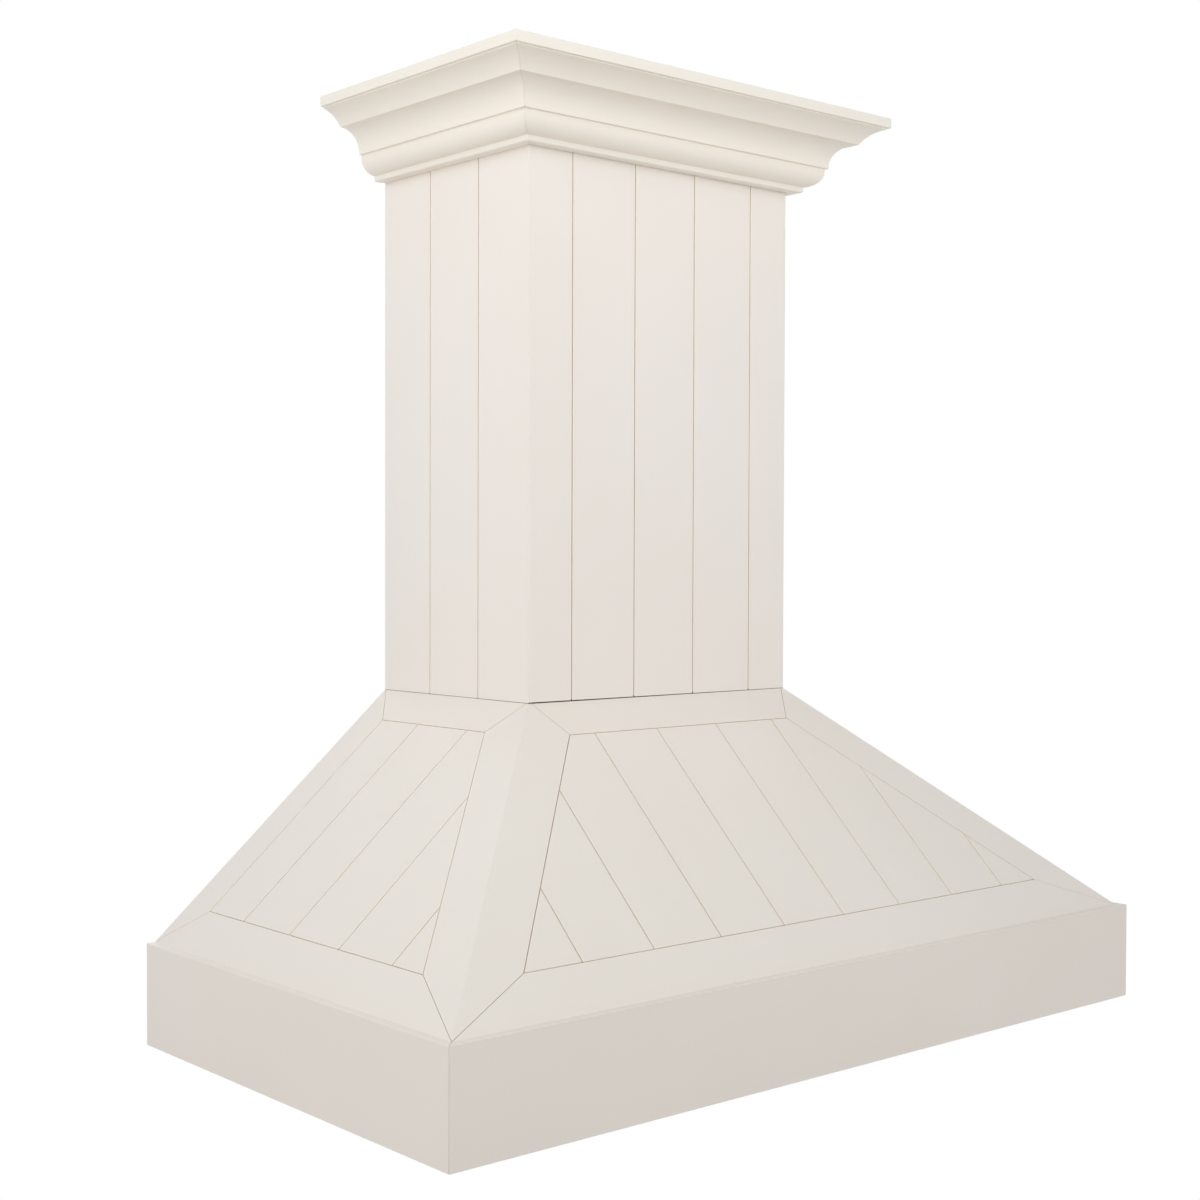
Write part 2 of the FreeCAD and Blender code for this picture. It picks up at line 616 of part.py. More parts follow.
def clearance_holes(screws_at):
    """Holes through a sheet for screws that are given by their seats and directions."""
    radius = SCREW_R + SCREW_HOLE_CLEARANCE
    return [faceted_rod(radius, seat - way * SHEET, seat + way * SHEET * 2) for seat, way in screws_at]


def tray_screw_seats():
    z = TRAY_Z + TRAY_WALL / 2
    seats = []
    for x in (-0.85, -0.3, 0.3, 0.85):
        seats.append((V(x * TRAY_HALF, TRAY_FRONT + SHEET, z), V(0, -1, 0)))
        seats.append((V(x * TRAY_HALF, TRAY_REAR - SHEET, z), V(0, 1, 0)))
    for y in (0.25, 0.75):
        for side in (-1, 1):
            seats.append((V(side * (TRAY_HALF - SHEET), y * TRAY_FRONT, z), V(side, 0, 0)))
    return seats


def tray_screws():
    return [screw(seat, way) for seat, way in tray_screw_seats()]


def housing_screw_seats():
    seats = []
    for x in (-0.8, -0.3, 0.3, 0.8):
        seats.append((V(x * HOUSING_HALF, HOUSING_REAR - SHEET, HANGING_HIGH_Z), V(0, 1, 0)))
    return seats


def housing_screws():
    return [screw(seat, way) for seat, way in housing_screw_seats()]


def button_x(i):
    return (i - (len(BUTTON_NAMES) - 1) / 2) * BUTTON_PITCH


def button_block(i, margin, z0, z1):
    """A block on the axis of one button, larger than its key by the margin on each side."""
    half_x = BUTTON_LENGTH / 2 + margin
    half_y = BUTTON_WIDTH / 2 + margin
    x = button_x(i)
    return box(x - half_x, x + half_x, CONTROL_Y - half_y, CONTROL_Y + half_y, z0, z1)


def make_tray():
    outer = box(-TRAY_HALF, TRAY_HALF, TRAY_FRONT, TRAY_REAR, TRAY_Z, TRAY_Z + TRAY_WALL)
    inner = box(-TRAY_HALF + SHEET, TRAY_HALF - SHEET, TRAY_FRONT + SHEET, TRAY_REAR - SHEET,
                TRAY_TOP, TRAY_Z + TRAY_WALL + 1)
    below = TRAY_Z - 1
    above = TRAY_TOP + 1
    openings = [box(-BAY_HALF, BAY_HALF, BAY_FRONT, BAY_REAR, below, above)]
    for i in range(len(BUTTON_NAMES)):
        openings.append(button_block(i, BUTTON_CLEARANCE, below, above))
    for x in (-LAMP_X, LAMP_X):
        openings.append(lamp_block(x, LAMP_CLEARANCE, below, above))
    openings.append(box(DISPLAY_X - DISPLAY_LENGTH / 2, DISPLAY_X + DISPLAY_LENGTH / 2,
                        CONTROL_Y - DISPLAY_WIDTH / 2, CONTROL_Y + DISPLAY_WIDTH / 2, below, above))
    tray = outer.cut(inner).cut(openings + clearance_holes(tray_screw_seats()))
    save("insert_tray", [tray.removeSplitter()])
    save("tray_screws", [shape for shape, pilot in tray_screws()])


def make_filters():
    for i in range(FILTER_COUNT):
        place = ("left", "centre", "right")[i] if FILTER_COUNT == 3 else str(i + 1)
        middle = (i - (FILTER_COUNT - 1) / 2) * FILTER_PITCH
        make_filter("filter_" + place, middle)


def make_filter(node, middle):
    """A baffle filter: a folded frame, two layers of U channels and a spring latch at the front."""
    left = middle - FILTER_HALF
    right = middle + FILTER_HALF
    top = FILTER_Z + FILTER_HEIGHT
    floor = FILTER_Z + FILTER_SHEET
    ceiling = top - FILTER_SHEET
    outer = box(left, right, FILTER_FRONT, FILTER_REAR, FILTER_Z, top)
    channel = box(left + FILTER_SHEET, right - FILTER_SHEET, FILTER_FRONT + FILTER_SHEET,
                  FILTER_REAR - FILTER_SHEET, floor, ceiling)
    window_front = FILTER_FRONT + FILTER_FRONT_FLANGE
    window_rear = FILTER_REAR - FILTER_FLANGE
    window = box(left + FILTER_FLANGE, right - FILTER_FLANGE, window_front, window_rear,
                 FILTER_Z - 1, top + 1)
    frame = outer.cut(channel).cut(window)
    tongues = []
    for side in (-1, 1):
        x = middle + side * TONGUE_SPACING / 2
        tongues.append(box(x - TONGUE_WIDTH / 2, x + TONGUE_WIDTH / 2, FILTER_REAR - FILTER_SHEET,
                           FILTER_REAR + TONGUE_LENGTH, FILTER_Z, floor))
    slide_low = floor + LATCH_CLEARANCE
    slide_high = slide_low + LATCH_THICK
    stem_y = FILTER_FRONT + FILTER_SHEET + LATCH_STEM / 2 + LATCH_CLEARANCE * 2
    slot_half = LATCH_WIDTH / 2 + LATCH_CLEARANCE
    stem_slot = LATCH_STEM / 2 + LATCH_CLEARANCE
    mouth = box(middle - slot_half, middle + slot_half, FILTER_FRONT - 1, FILTER_FRONT + FILTER_SHEET + 0.1,
                slide_low - LATCH_CLEARANCE, slide_high + LATCH_CLEARANCE)
    stem_way = box(middle - stem_slot, middle + stem_slot, stem_y - stem_slot,
                   stem_y + LATCH_TRAVEL + stem_slot, FILTER_Z - 1, floor + 0.1)
    frame = frame.multiFuse(tongues).cut([mouth, stem_way]).removeSplitter()
    save(node + "_frame", [frame])
    save(node + "_baffles", filter_baffles(left, right, floor, ceiling))
    plate = box(middle - LATCH_WIDTH / 2, middle + LATCH_WIDTH / 2, FILTER_FRONT - LATCH_REACH,
                FILTER_FRONT + LATCH_BODY, slide_low, slide_high)
    pad_top = TRAY_Z - LATCH_CLEARANCE * 2
    half = LATCH_STEM / 2
    stem = box(middle - half, middle + half, stem_y - half, stem_y + half, pad_top, slide_low)
    pad = box(middle - LATCH_PAD_LENGTH / 2, middle + LATCH_PAD_LENGTH / 2, stem_y - LATCH_PAD_WIDTH / 2,
              stem_y + LATCH_PAD_WIDTH / 2, pad_top - LATCH_PAD_THICK, pad_top)
    save(node + "_latch", [plate.multiFuse([stem, pad]).removeSplitter()])


def filter_baffles(left, right, floor, ceiling):
    front = FILTER_FRONT + FILTER_SHEET + BAFFLE_FRONT_GAP
    rear = FILTER_REAR - FILTER_SHEET
    span = right - left - 2 * FILTER_FLANGE
    pitch = span / BAFFLE_COUNT
    slot = pitch - BAFFLE_WIDTH
    cap = slot + 2 * BAFFLE_OVERLAP

    def u_channel(x, width, base, leg):
        half = width / 2
        inner = half - BAFFLE_SHEET
        skin = math.copysign(BAFFLE_SHEET, leg)
        section = [(x - half, base), (x + half, base), (x + half, base + leg), (x + inner, base + leg),
                   (x + inner, base + skin), (x - inner, base + skin), (x - inner, base + leg),
                   (x - half, base + leg)]
        return flat([V(a, front, z) for a, z in section]).extrude(V(0, rear - front, 0))

    first = left + FILTER_FLANGE + pitch / 2
    lower = [u_channel(first + i * pitch, BAFFLE_WIDTH, floor, BAFFLE_LEG) for i in range(BAFFLE_COUNT)]
    upper = []
    for i in range(BAFFLE_COUNT - 1):
        upper.append(u_channel(first + (i + 0.5) * pitch, cap, ceiling, -BAFFLE_LEG))
    return lower + upper


def button_face(i, low):
    """The bevelled end of a key."""
    half_x = BUTTON_LENGTH / 2
    half_y = BUTTON_WIDTH / 2
    x = button_x(i)

    def corners(margin, z):
        outline = rectangle(x - half_x + margin, x + half_x - margin,
                            CONTROL_Y - half_y + margin, CONTROL_Y + half_y - margin)
        return [V(a, b, z) for a, b in outline]

    return prismatoid(corners(BUTTON_CHAMFER, low), corners(0, low + BUTTON_CHAMFER))


def make_controls():
    board_z = TRAY_TOP + BOARD_STANDOFF
    for i, name in enumerate(BUTTON_NAMES):
        low = TRAY_Z - BUTTON_PROUD
        rim_z = TRAY_TOP + BUTTON_CLEARANCE
        stem_z = rim_z + BUTTON_RIM_THICK
        bevel_top = button_block(i, 0, low + BUTTON_CHAMFER, rim_z)
        half = BUTTON_STEM_SIDE / 2
        x = button_x(i)
        stem = box(x - half, x + half, CONTROL_Y - half, CONTROL_Y + half, stem_z,
                   board_z - BUTTON_TRAVEL - BUTTON_STOP_GAP)
        pieces = [button_block(i, BUTTON_RIM, rim_z, stem_z), stem, button_face(i, low)]
        save("button_" + name, [bevel_top.multiFuse(pieces).removeSplitter()])
    half_long = DISPLAY_LENGTH / 2
    half_wide = DISPLAY_WIDTH / 2
    pane = box(DISPLAY_X - half_long, DISPLAY_X + half_long, CONTROL_Y - half_wide, CONTROL_Y + half_wide,
               TRAY_Z - 1.0, TRAY_TOP + DISPLAY_THICK / 2)
    flange = box(DISPLAY_X - half_long - DISPLAY_FLANGE, DISPLAY_X + half_long + DISPLAY_FLANGE,
                 CONTROL_Y - half_wide - DISPLAY_FLANGE, CONTROL_Y + half_wide + DISPLAY_FLANGE,
                 TRAY_TOP, TRAY_TOP + DISPLAY_THICK / 2)
    save("display_window", [pane.fuse(flange).removeSplitter()])
    left = button_x(0) - BOARD_MARGIN
    right = DISPLAY_X + half_long + BOARD_MARGIN
    near = CONTROL_Y - BOARD_WIDTH / 2
    far = CONTROL_Y + BOARD_WIDTH / 2
    board = box(left, right, near, far, board_z, board_z + BOARD_THICK)
    legs = []
    for x in (left, right - BOARD_LEG):
        for y in (near, far - BOARD_LEG):
            legs.append(box(x, x + BOARD_LEG, y, y + BOARD_LEG, TRAY_TOP, board_z))
    save("control_board", [board.multiFuse(legs).removeSplitter()])


def lamp_corners(x, margin, z):
    outline = rectangle(x - LAMP_LENGTH / 2 - margin, x + LAMP_LENGTH / 2 + margin,
                        CONTROL_Y - LAMP_WIDTH / 2 - margin, CONTROL_Y + LAMP_WIDTH / 2 + margin)
    return [V(a, b, z) for a, b in outline]


def lamp_block(x, margin, z0, z1):
    return prismatoid(lamp_corners(x, margin, z0), lamp_corners(x, margin, z1))


def make_lamps():
    """Two flush light bars: a housing with a bevelled rim, and a diffuser set into it."""
    housings = []
    lenses = []
    low = TRAY_Z - LAMP_BEZEL
    lens_edge = low + LAMP_LENS_BEVEL
    lens_top = lens_edge + LAMP_LENS_THICK
    for x in (-LAMP_X, LAMP_X):
        body = lamp_block(x, 0, low, low + LAMP_HEIGHT)
        rim = prismatoid(lamp_corners(x, LAMP_BEZEL_RIM - LAMP_BEZEL / 2, low),
                         lamp_corners(x, LAMP_BEZEL_RIM, TRAY_Z))
        recess = lamp_block(x, -LAMP_WALL, low - 1, lens_top)
        housings.append(body.fuse(rim).cut(recess).removeSplitter())
        pane = lamp_block(x, -LAMP_WALL, lens_edge, lens_top)
        bevel = prismatoid(lamp_corners(x, -LAMP_WALL - LAMP_LENS_BEVEL, low),
                           lamp_corners(x, -LAMP_WALL, lens_edge))
        lenses.append(pane.fuse(bevel).removeSplitter())
    save("lamp_housings", housings)
    save("lamp_lenses", lenses)


def hopper_skin(inside):
    """Solid of the plenum from tray to blower housing, drawn in by the sheet for its inner side."""
    half = BAY_HALF + HOPPER_MARGIN - inside
    front = BAY_FRONT - HOPPER_MARGIN + inside
    rear = BAY_REAR + HOPPER_MARGIN - inside
    neck_half = HOUSING_HALF - inside
    neck_front = -HOUSING_FRONT + inside
    shoulder = TRAY_TOP + HOPPER_SKIRT

    def level(x, y, z):
        return [V(a, b, z) for a, b in rectangle(-x, x, y, rear)]

    skirt = box(-half, half, front, rear, TRAY_TOP, shoulder)
    return skirt.fuse(prismatoid(level(half, front, shoulder), level(neck_half, neck_front, HOUSING_Z)))


def make_plenum():
    save("plenum_hopper", [hopper_skin(0).cut(hopper_skin(HOPPER_SHEET)).removeSplitter()])
    outer = box(-HOUSING_HALF, HOUSING_HALF, -HOUSING_FRONT, HOUSING_REAR, HOUSING_Z, HOUSING_TOP)
    inner = box(-HOUSING_HALF + SHEET, HOUSING_HALF - SHEET, -HOUSING_FRONT + SHEET, HOUSING_REAR - SHEET,
                HOUSING_Z + SHEET, HOUSING_TOP - SHEET)
    mouth = box(-HOUSING_HALF + SHEET, HOUSING_HALF - SHEET, -HOUSING_FRONT + SHEET,
                BAY_REAR + HOPPER_MARGIN - SHEET, HOUSING_Z - 1, HOUSING_Z + SHEET + 1)
    outlet = rod(COLLAR_BORE_R, V(0, COLLAR_Y, HOUSING_TOP - SHEET - 1), V(0, COLLAR_Y, HOUSING_TOP + 1))
    housing = outer.cut([inner, mouth, outlet] + clearance_holes(housing_screw_seats()))
    save("blower_housing", [housing.removeSplitter()])
    save("housing_screws", [shape for shape, pilot in housing_screws()])


def scroll_face(wall, top):
    """Section of the scroll at x = 0: three growing quarter arcs from the cut-off to the outlet."""
    corner = math.sqrt(0.5)
    point = V(0, FAN_Y, FAN_Z + SCROLL_START_R - wall)
    start = point
    ways = (V(0, 0, 1), V(0, -1, 0), V(0, 0, -1), V(0, 1, 0))
    edges = []
    for i in range(3):
        radius = SCROLL_START_R + (i + 1) * SCROLL_GROWTH - wall
        centre = point - ways[i] * radius
        middle = centre + (ways[i] + ways[i + 1]) * (radius * corner)
        end = centre + ways[i + 1] * radius
        edges.append(Part.Arc(point, middle, end).toShape())
        point = end
    outlet = [point, V(0, point.y, top), V(0, FAN_Y + wall, top)]
    if wall:
        outlet.append(V(0, FAN_Y + wall, start.z))
    outlet.append(start)
    return Part.Face(Part.Wire(edges + Part.makePolygon(outlet).Edges))


def make_scroll():
    top = HOUSING_TOP - SHEET
    half = SCROLL_WIDTH / 2
    shell = scroll_face(0, top).extrude(V(SCROLL_WIDTH + 2 * SHEET, 0, 0))
    shell.translate(V(-half - SHEET, 0, 0))
    air = scroll_face(SHEET, top + 5.0).extrude(V(SCROLL_WIDTH, 0, 0))
    air.translate(V(-half, 0, 0))
    inlet = rod(INLET_R, V(-half - SHEET - 1, FAN_Y, FAN_Z), V(half + SHEET + 1, FAN_Y, FAN_Z))
    flange = box(-half - SCROLL_FLANGE, half + SCROLL_FLANGE, FAN_Y - SCROLL_FLANGE,
                 FAN_Y + SCROLL_END + SCROLL_FLANGE, top - SHEET, top)
    save("scroll_casing", [shell.fuse(flange).cut([air, inlet]).removeSplitter()])


def fan_point(x, radius, degrees):
    angle = math.radians(degrees)
    return V(x, FAN_Y + radius * math.cos(angle), FAN_Z + radius * math.sin(angle))


def fan_disc(x0, x1, radius, bore):
    disc = rod(radius, V(x0, FAN_Y, FAN_Z), V(x1, FAN_Y, FAN_Z))
    return disc.cut(rod(bore, V(x0 - 1, FAN_Y, FAN_Z), V(x1 + 1, FAN_Y, FAN_Z)))


def wheel_plate(x0, x1, radius):
    """A disc of the fan wheel, drawn with one flat for each blade."""
    turns = [360 * i / BLADE_COUNT for i in range(BLADE_COUNT)]
    return flat([fan_point(x0, radius, turn) for turn in turns]).extrude(V(x1 - x0, 0, 0))


def fan_blade(turn):
    """A forward-curved blade: a strip with one bend, its tip leading its foot."""
    x = -(WHEEL_WIDTH - WHEEL_RING) / 2
    stations = ((WHEEL_R - BLADE_DEPTH + BLADE_THICK, 0.0), (WHEEL_R - BLADE_DEPTH / 2, BLADE_LEAD * 0.3),
                (WHEEL_R - BLADE_THICK, BLADE_LEAD))
    lean = math.degrees(BLADE_THICK / 2 / WHEEL_R)
    leading = [fan_point(x, radius, turn + lead + lean) for radius, lead in stations]
    trailing = [fan_point(x, radius, turn + lead - lean) for radius, lead in reversed(stations)]
    return flat(leading + trailing).extrude(V(WHEEL_WIDTH - WHEEL_RING, 0, 0))


def make_fan():
    half = WHEEL_WIDTH / 2
    foot_r = WHEEL_R - BLADE_DEPTH
    blades = [fan_blade(i * 360 / BLADE_COUNT) for i in range(BLADE_COUNT)]
    eye = wheel_plate(-half - 1, half + 1, foot_r)
    rings = [wheel_plate(-half, -half + WHEEL_RING, WHEEL_R).cut(eye),
             wheel_plate(half - WHEEL_RING, half, WHEEL_R).cut(eye)]
    plate = wheel_plate(-WHEEL_RING / 2, WHEEL_RING / 2, WHEEL_R)
    hub = fan_disc(-HUB_LENGTH / 2, HUB_LENGTH / 2, HUB_R, SHAFT_R)
    way = rod(SHAFT_R, V(-half, FAN_Y, FAN_Z), V(half, FAN_Y, FAN_Z))
    save("fan_wheel", [plate.multiFuse([hub] + rings + blades).cut(way).removeSplitter()])


def make_motor():
    side_plate = -(SCROLL_WIDTH / 2 + SHEET)
    bracket_x = side_plate - MOTOR_STANDOFF
    motor_x = bracket_x - BRACKET_THICK
    motor_end = motor_x - MOTOR_LENGTH
    bore = SHAFT_R + SHAFT_CLEARANCE
    save("motor", [fan_disc(motor_end, motor_x, MOTOR_R, bore)])
    save("motor_shaft", [rod(SHAFT_R, V(motor_end, FAN_Y, FAN_Z), V(HUB_LENGTH / 2, FAN_Y, FAN_Z))])
    half = BRACKET_PLATE / 2
    arm = BRACKET_ARM / 2
    way = SHAFT_R * 2
    far = BRACKET_REACH + arm
    plate = box(motor_x, bracket_x, FAN_Y - half, FAN_Y + half, FAN_Z - half, FAN_Z + half)
    arms = [box(motor_x, bracket_x, FAN_Y - far, FAN_Y + far, FAN_Z - arm, FAN_Z + arm),
            box(motor_x, bracket_x, FAN_Y - arm, FAN_Y + arm, FAN_Z - far, FAN_Z)]
    for y, z in ((-BRACKET_REACH, 0), (BRACKET_REACH, 0), (0, -BRACKET_REACH)):
        arms.append(box(bracket_x, side_plate, FAN_Y + y - arm / 2, FAN_Y + y + arm / 2,
                        FAN_Z + z - arm / 2, FAN_Z + z + arm / 2))
    hole = box(motor_x - 1, bracket_x + 1, FAN_Y - way, FAN_Y + way, FAN_Z - way, FAN_Z + way)
    save("motor_bracket", [plate.multiFuse(arms).cut(hole).removeSplitter()])


def make_collar():
    axis = V(0, COLLAR_Y, HOUSING_TOP)
    top = HOUSING_TOP + COLLAR_HEIGHT
    half = COLLAR_BASE / 2
    base = box(-half, half, COLLAR_Y - half, COLLAR_Y + half, HOUSING_TOP, HOUSING_TOP + SHEET)
    tube = rod(COLLAR_R, axis, V(0, COLLAR_Y, top))
    bore = rod(COLLAR_BORE_R, V(0, COLLAR_Y, HOUSING_TOP - 1), V(0, COLLAR_Y, top + 1))
    stop_top = DAMPER_Z - FLAP_SHEET / 2 - FLAP_STOP_GAP
    stops = []
    for side in (-1, 1):
        inner = COLLAR_Y + side * (COLLAR_BORE_R - FLAP_STOP_REACH)
        outer = COLLAR_Y + side * (COLLAR_R - SHEET / 2)
        stops.append(box(-FLAP_STOP / 2, FLAP_STOP / 2, min(inner, outer), max(inner, outer),
                         stop_top - SHEET, stop_top))
    collar = base.fuse(tube).cut(bore).multiFuse(stops)
    save("duct_collar", [collar.removeSplitter()])
    reach = math.sqrt(COLLAR_BORE_R ** 2 - (DAMPER_OFFSET + DAMPER_ROD_R) ** 2)
    rods = []
    for side in (-1, 1):
        y = COLLAR_Y + side * DAMPER_OFFSET
        rods.append(rod(DAMPER_ROD_R, V(-reach, y, DAMPER_Z), V(reach, y, DAMPER_Z)))
    save("damper_rods", rods)
    for side, name in ((-1, "front"), (1, "back")):
        y = COLLAR_Y + side * DAMPER_OFFSET
        bore_r = DAMPER_ROD_R + DAMPER_FIT
        half = KNUCKLE_LENGTH / 2
        knuckle = faceted_rod(KNUCKLE_R, V(-half, y, DAMPER_Z), V(half, y, DAMPER_Z))
        pin_way = rod(bore_r, V(-COLLAR_R, y, DAMPER_Z), V(COLLAR_R, y, DAMPER_Z))
        disc = rod(COLLAR_BORE_R - FLAP_EDGE_GAP, V(0, COLLAR_Y, DAMPER_Z - FLAP_SHEET / 2),
                   V(0, COLLAR_Y, DAMPER_Z + FLAP_SHEET / 2))
        start = y + side * (bore_r + KNUCKLE_R) / 2
        end = COLLAR_Y + side * (COLLAR_R + 1)
        half_plane = box(-COLLAR_R, COLLAR_R, min(start, end), max(start, end), DAMPER_Z - 1, DAMPER_Z + 1)
        flap = disc.common(half_plane).fuse(knuckle).cut(pin_way)
        save("damper_flap_" + name, [flap.removeSplitter()])


def make_mains_box():
    x0 = MAINS_X - MAINS_WIDTH / 2
    x1 = MAINS_X + MAINS_WIDTH / 2
    y0 = MAINS_Y - MAINS_DEPTH / 2
    y1 = MAINS_Y + MAINS_DEPTH / 2
    top = HOUSING_TOP + MAINS_HEIGHT
    outer = box(x0, x1, y0, y1, HOUSING_TOP, top)
    inner = box(x0 + SHEET, x1 - SHEET, y0 + SHEET, y1 - SHEET, HOUSING_TOP + SHEET, top + 1)
    save("mains_box", [outer.cut(inner)])
    cover = box(x0, x1, y0, y1, top, top + SHEET)
    hub_top = top + SHEET + CABLE_HUB_HEIGHT
    across = (CABLE_HOLE_R + CABLE_HUB_WALL) / math.cos(math.radians(30))
    hub = plan_prism([(MAINS_X + across * math.cos(math.radians(60 * i)),
                       MAINS_Y + across * math.sin(math.radians(60 * i))) for i in range(6)], top, hub_top)
    hole = rod(CABLE_HOLE_R, V(MAINS_X, MAINS_Y, top - 1), V(MAINS_X, MAINS_Y, hub_top + 1))
    save("mains_cover", [cover.fuse(hub).cut(hole).removeSplitter()])


def main():
    os.makedirs("parts", exist_ok=True)
    make_apron()
    make_slopes()
    make_chimney()
    make_crown()
    make_hanging_rail()
    make_tray()
    make_filters()
    make_controls()
    make_lamps()
    make_plenum()
    make_scroll()
    make_fan()
    make_motor()
    make_collar()
    make_mains_box()


main()
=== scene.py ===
# %% [markdown]
# # A shiplap range hood in warm white paint
# The real hood is joinery around a steel insert. A carpenter mitres an apron, frames three slopes,
# lays shiplap boards in them, stands a boarded chimney on top and finishes it with a crown. Below
# hangs the steel tray with its filters, keys and lights. The frame loaded here already has every
# piece at its real size, so this lesson is about surfaces: how an edge is eased, how paint lies on
# wood, and how brushed, plated and galvanised steel differ.

# %% Load the frame
import json
import math

import bmesh
import bpy
from mathutils import Matrix, Vector


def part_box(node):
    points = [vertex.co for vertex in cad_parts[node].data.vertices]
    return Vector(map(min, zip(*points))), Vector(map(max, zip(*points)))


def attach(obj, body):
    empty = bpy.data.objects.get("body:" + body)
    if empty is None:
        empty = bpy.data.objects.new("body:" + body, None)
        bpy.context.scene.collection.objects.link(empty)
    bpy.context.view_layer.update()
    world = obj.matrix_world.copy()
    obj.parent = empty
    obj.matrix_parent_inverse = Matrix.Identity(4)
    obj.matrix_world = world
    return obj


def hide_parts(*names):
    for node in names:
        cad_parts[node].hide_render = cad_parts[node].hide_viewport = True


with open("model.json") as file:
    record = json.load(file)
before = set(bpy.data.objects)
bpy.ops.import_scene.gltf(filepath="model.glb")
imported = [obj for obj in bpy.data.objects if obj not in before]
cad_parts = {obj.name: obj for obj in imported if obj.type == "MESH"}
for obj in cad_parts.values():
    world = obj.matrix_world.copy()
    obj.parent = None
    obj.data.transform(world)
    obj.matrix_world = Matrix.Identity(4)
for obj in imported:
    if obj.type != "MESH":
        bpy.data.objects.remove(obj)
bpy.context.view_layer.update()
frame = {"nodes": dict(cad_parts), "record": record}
nodes = frame["nodes"]
record = frame["record"]
slot_of = {entry["node"]: entry["material_slot"] for entry in record["subparts"]}
body_of = {node: body for body, members in record["behaviour"]["bodies"].items()
           for node in members}
scene = bpy.context.scene

# %% [markdown]
# ## The camera
# The picture was taken from the left front, at half the hood's height, with a lens of about normal
# length. A camera could be turned by eye until edges line up. Fitting it to the straight edges of
# the apron, chimney and crown is quicker and exact, and gives the place, the turn and the lens
# below. The small roll is the tilt of the hand that held it.

# %% Place the camera
CAMERA_TARGET = Vector((-0.0513, -0.2058, 0.4337))
CAMERA_DISTANCE = 1.9043
CAMERA_AZIMUTH = math.radians(-40.737)
CAMERA_ELEVATION = math.radians(1.288)
CAMERA_ROLL = math.radians(0.164)
CAMERA_LENS_MM = 55.42
SENSOR_MM = 36.0
NEAREST_SEEN = 0.01

right = Vector((math.cos(CAMERA_AZIMUTH), math.sin(CAMERA_AZIMUTH), 0))
back = Vector((math.sin(CAMERA_AZIMUTH) * math.cos(CAMERA_ELEVATION),
               -math.cos(CAMERA_AZIMUTH) * math.cos(CAMERA_ELEVATION),
               math.sin(CAMERA_ELEVATION)))
up = back.cross(right)
rolled_right = math.cos(CAMERA_ROLL) * right + math.sin(CAMERA_ROLL) * up
rolled_up = math.cos(CAMERA_ROLL) * up - math.sin(CAMERA_ROLL) * right
eye = CAMERA_TARGET + CAMERA_DISTANCE * back
turn = Matrix((rolled_right, rolled_up, back)).transposed().to_4x4()
camera_data = bpy.data.cameras.new("camera")
camera_data.lens = CAMERA_LENS_MM
camera_data.sensor_width = SENSOR_MM
camera_data.sensor_fit = "HORIZONTAL"
camera_data.clip_start = NEAREST_SEEN
camera = bpy.data.objects.new("camera", camera_data)
camera.matrix_world = Matrix.Translation(eye) @ turn
scene.collection.objects.link(camera)
scene.camera = camera
print("camera at", [round(value, 4) for value in eye], "lens", CAMERA_LENS_MM, "mm")

# %% [markdown]
# ## Small helpers for finishes
# Every finish below is a little tree of nodes. One helper adds a node, sets its values and wires
# its inputs, so a finish reads as a list of what it is made of. Another turns a colour as a painter
# reads it, an sRGB hex value, into the linear numbers that light is reckoned in. A third turns the
# size of a pattern, in millimetres on the real surface, into the scale that a texture asks for. The
# last two open and close a finish, because all of them start and end alike. Lengths in this lesson
# are in metres, as Blender has them, unless a name ends in MM.


# %% Helpers for finishes
def linear(hex_colour):
    """An sRGB hex colour as linear red, green, blue and alpha."""
    channels = [int(hex_colour[i:i + 2], 16) / 255 for i in (1, 3, 5)]
    return [c / 12.92 if c <= 0.04045 else ((c + 0.055) / 1.055) ** 2.4 for c in channels] + [1.0]


def per_metre(size_mm):
    """How many features of that size lie along a metre, as a texture's Scale asks."""
    return 1000.0 / size_mm


def add(tree, kind, settings, links=None):
    """Adds one node: settings are its properties or input values, links feed its inputs."""
    made = tree.nodes.new(kind)
    for name, value in settings.items():
        if isinstance(name, str) and name not in made.inputs:
            setattr(made, name, value)
        else:
            made.inputs[name].default_value = value
    for name, source in (links or {}).items():
        tree.links.new(source, made.inputs[name])
    return made


def new_finish(name):
    """An empty finish: its material, its tree and the place on the piece, in metres."""
    material = bpy.data.materials.new(name)
    material.use_nodes = True
    tree = material.node_tree
    tree.nodes.clear()
    place = add(tree, "ShaderNodeTexCoord", {}).outputs["Object"]
    return material, tree, place


def close_finish(tree, settings, links):
    """The shader and output that end every finish."""
    shader = add(tree, "ShaderNodeBsdfPrincipled", settings, links)
    add(tree, "ShaderNodeOutputMaterial", {}, {"Surface": shader.outputs["BSDF"]})


finishes = {}
print("middle grey as light:", [round(c, 3) for c in linear("#808080")[:3]])

# %% [markdown]
# ## Satin paint on poplar
# The outside is poplar, primed and sprayed with a warm white satin paint. Spray leaves a fine
# orange peel a couple of millimetres across, the boards under it are never dead flat, and each coat
# dries a shade lighter or darker over a hand's width. All three are small: paint that shows them
# plainly is bad paint. One flat colour would look like plastic. So the colour drifts with a broad
# noise, the gloss with a middling one, and the bump holds the waviness and the peel together.
#
# Chimney, crown, slopes and apron get the same tree, once for each, with a tint of its own that is
# painted light: it matches how the light falls on that assembly, so the crown is a touch creamier
# than the slopes, the chimney whiter and the apron pinker. The joint under the chimney's foot is
# painted near-black brown, from a tenth of a millimetre in from the chimney's outline: a painted
# shade that darkens the line of the joint as its shadow does. That is wherever a face looks up
# inside the plan of the chimney, no higher than the rim of the slopes.

# %% Find where the joint's painted shade goes
# Near-black brown painted into the joint under the chimney's foot, as its shade.
JOINT_PAINTED_SHADE = "#54391C"
# A face looks up when its normal's Z is over this.
LOOKS_UP = 0.3
# The painted shade begins this far in from the chimney's outline.
SHADE_INSET = 0.0001
JOINT_RISE = 0.0005

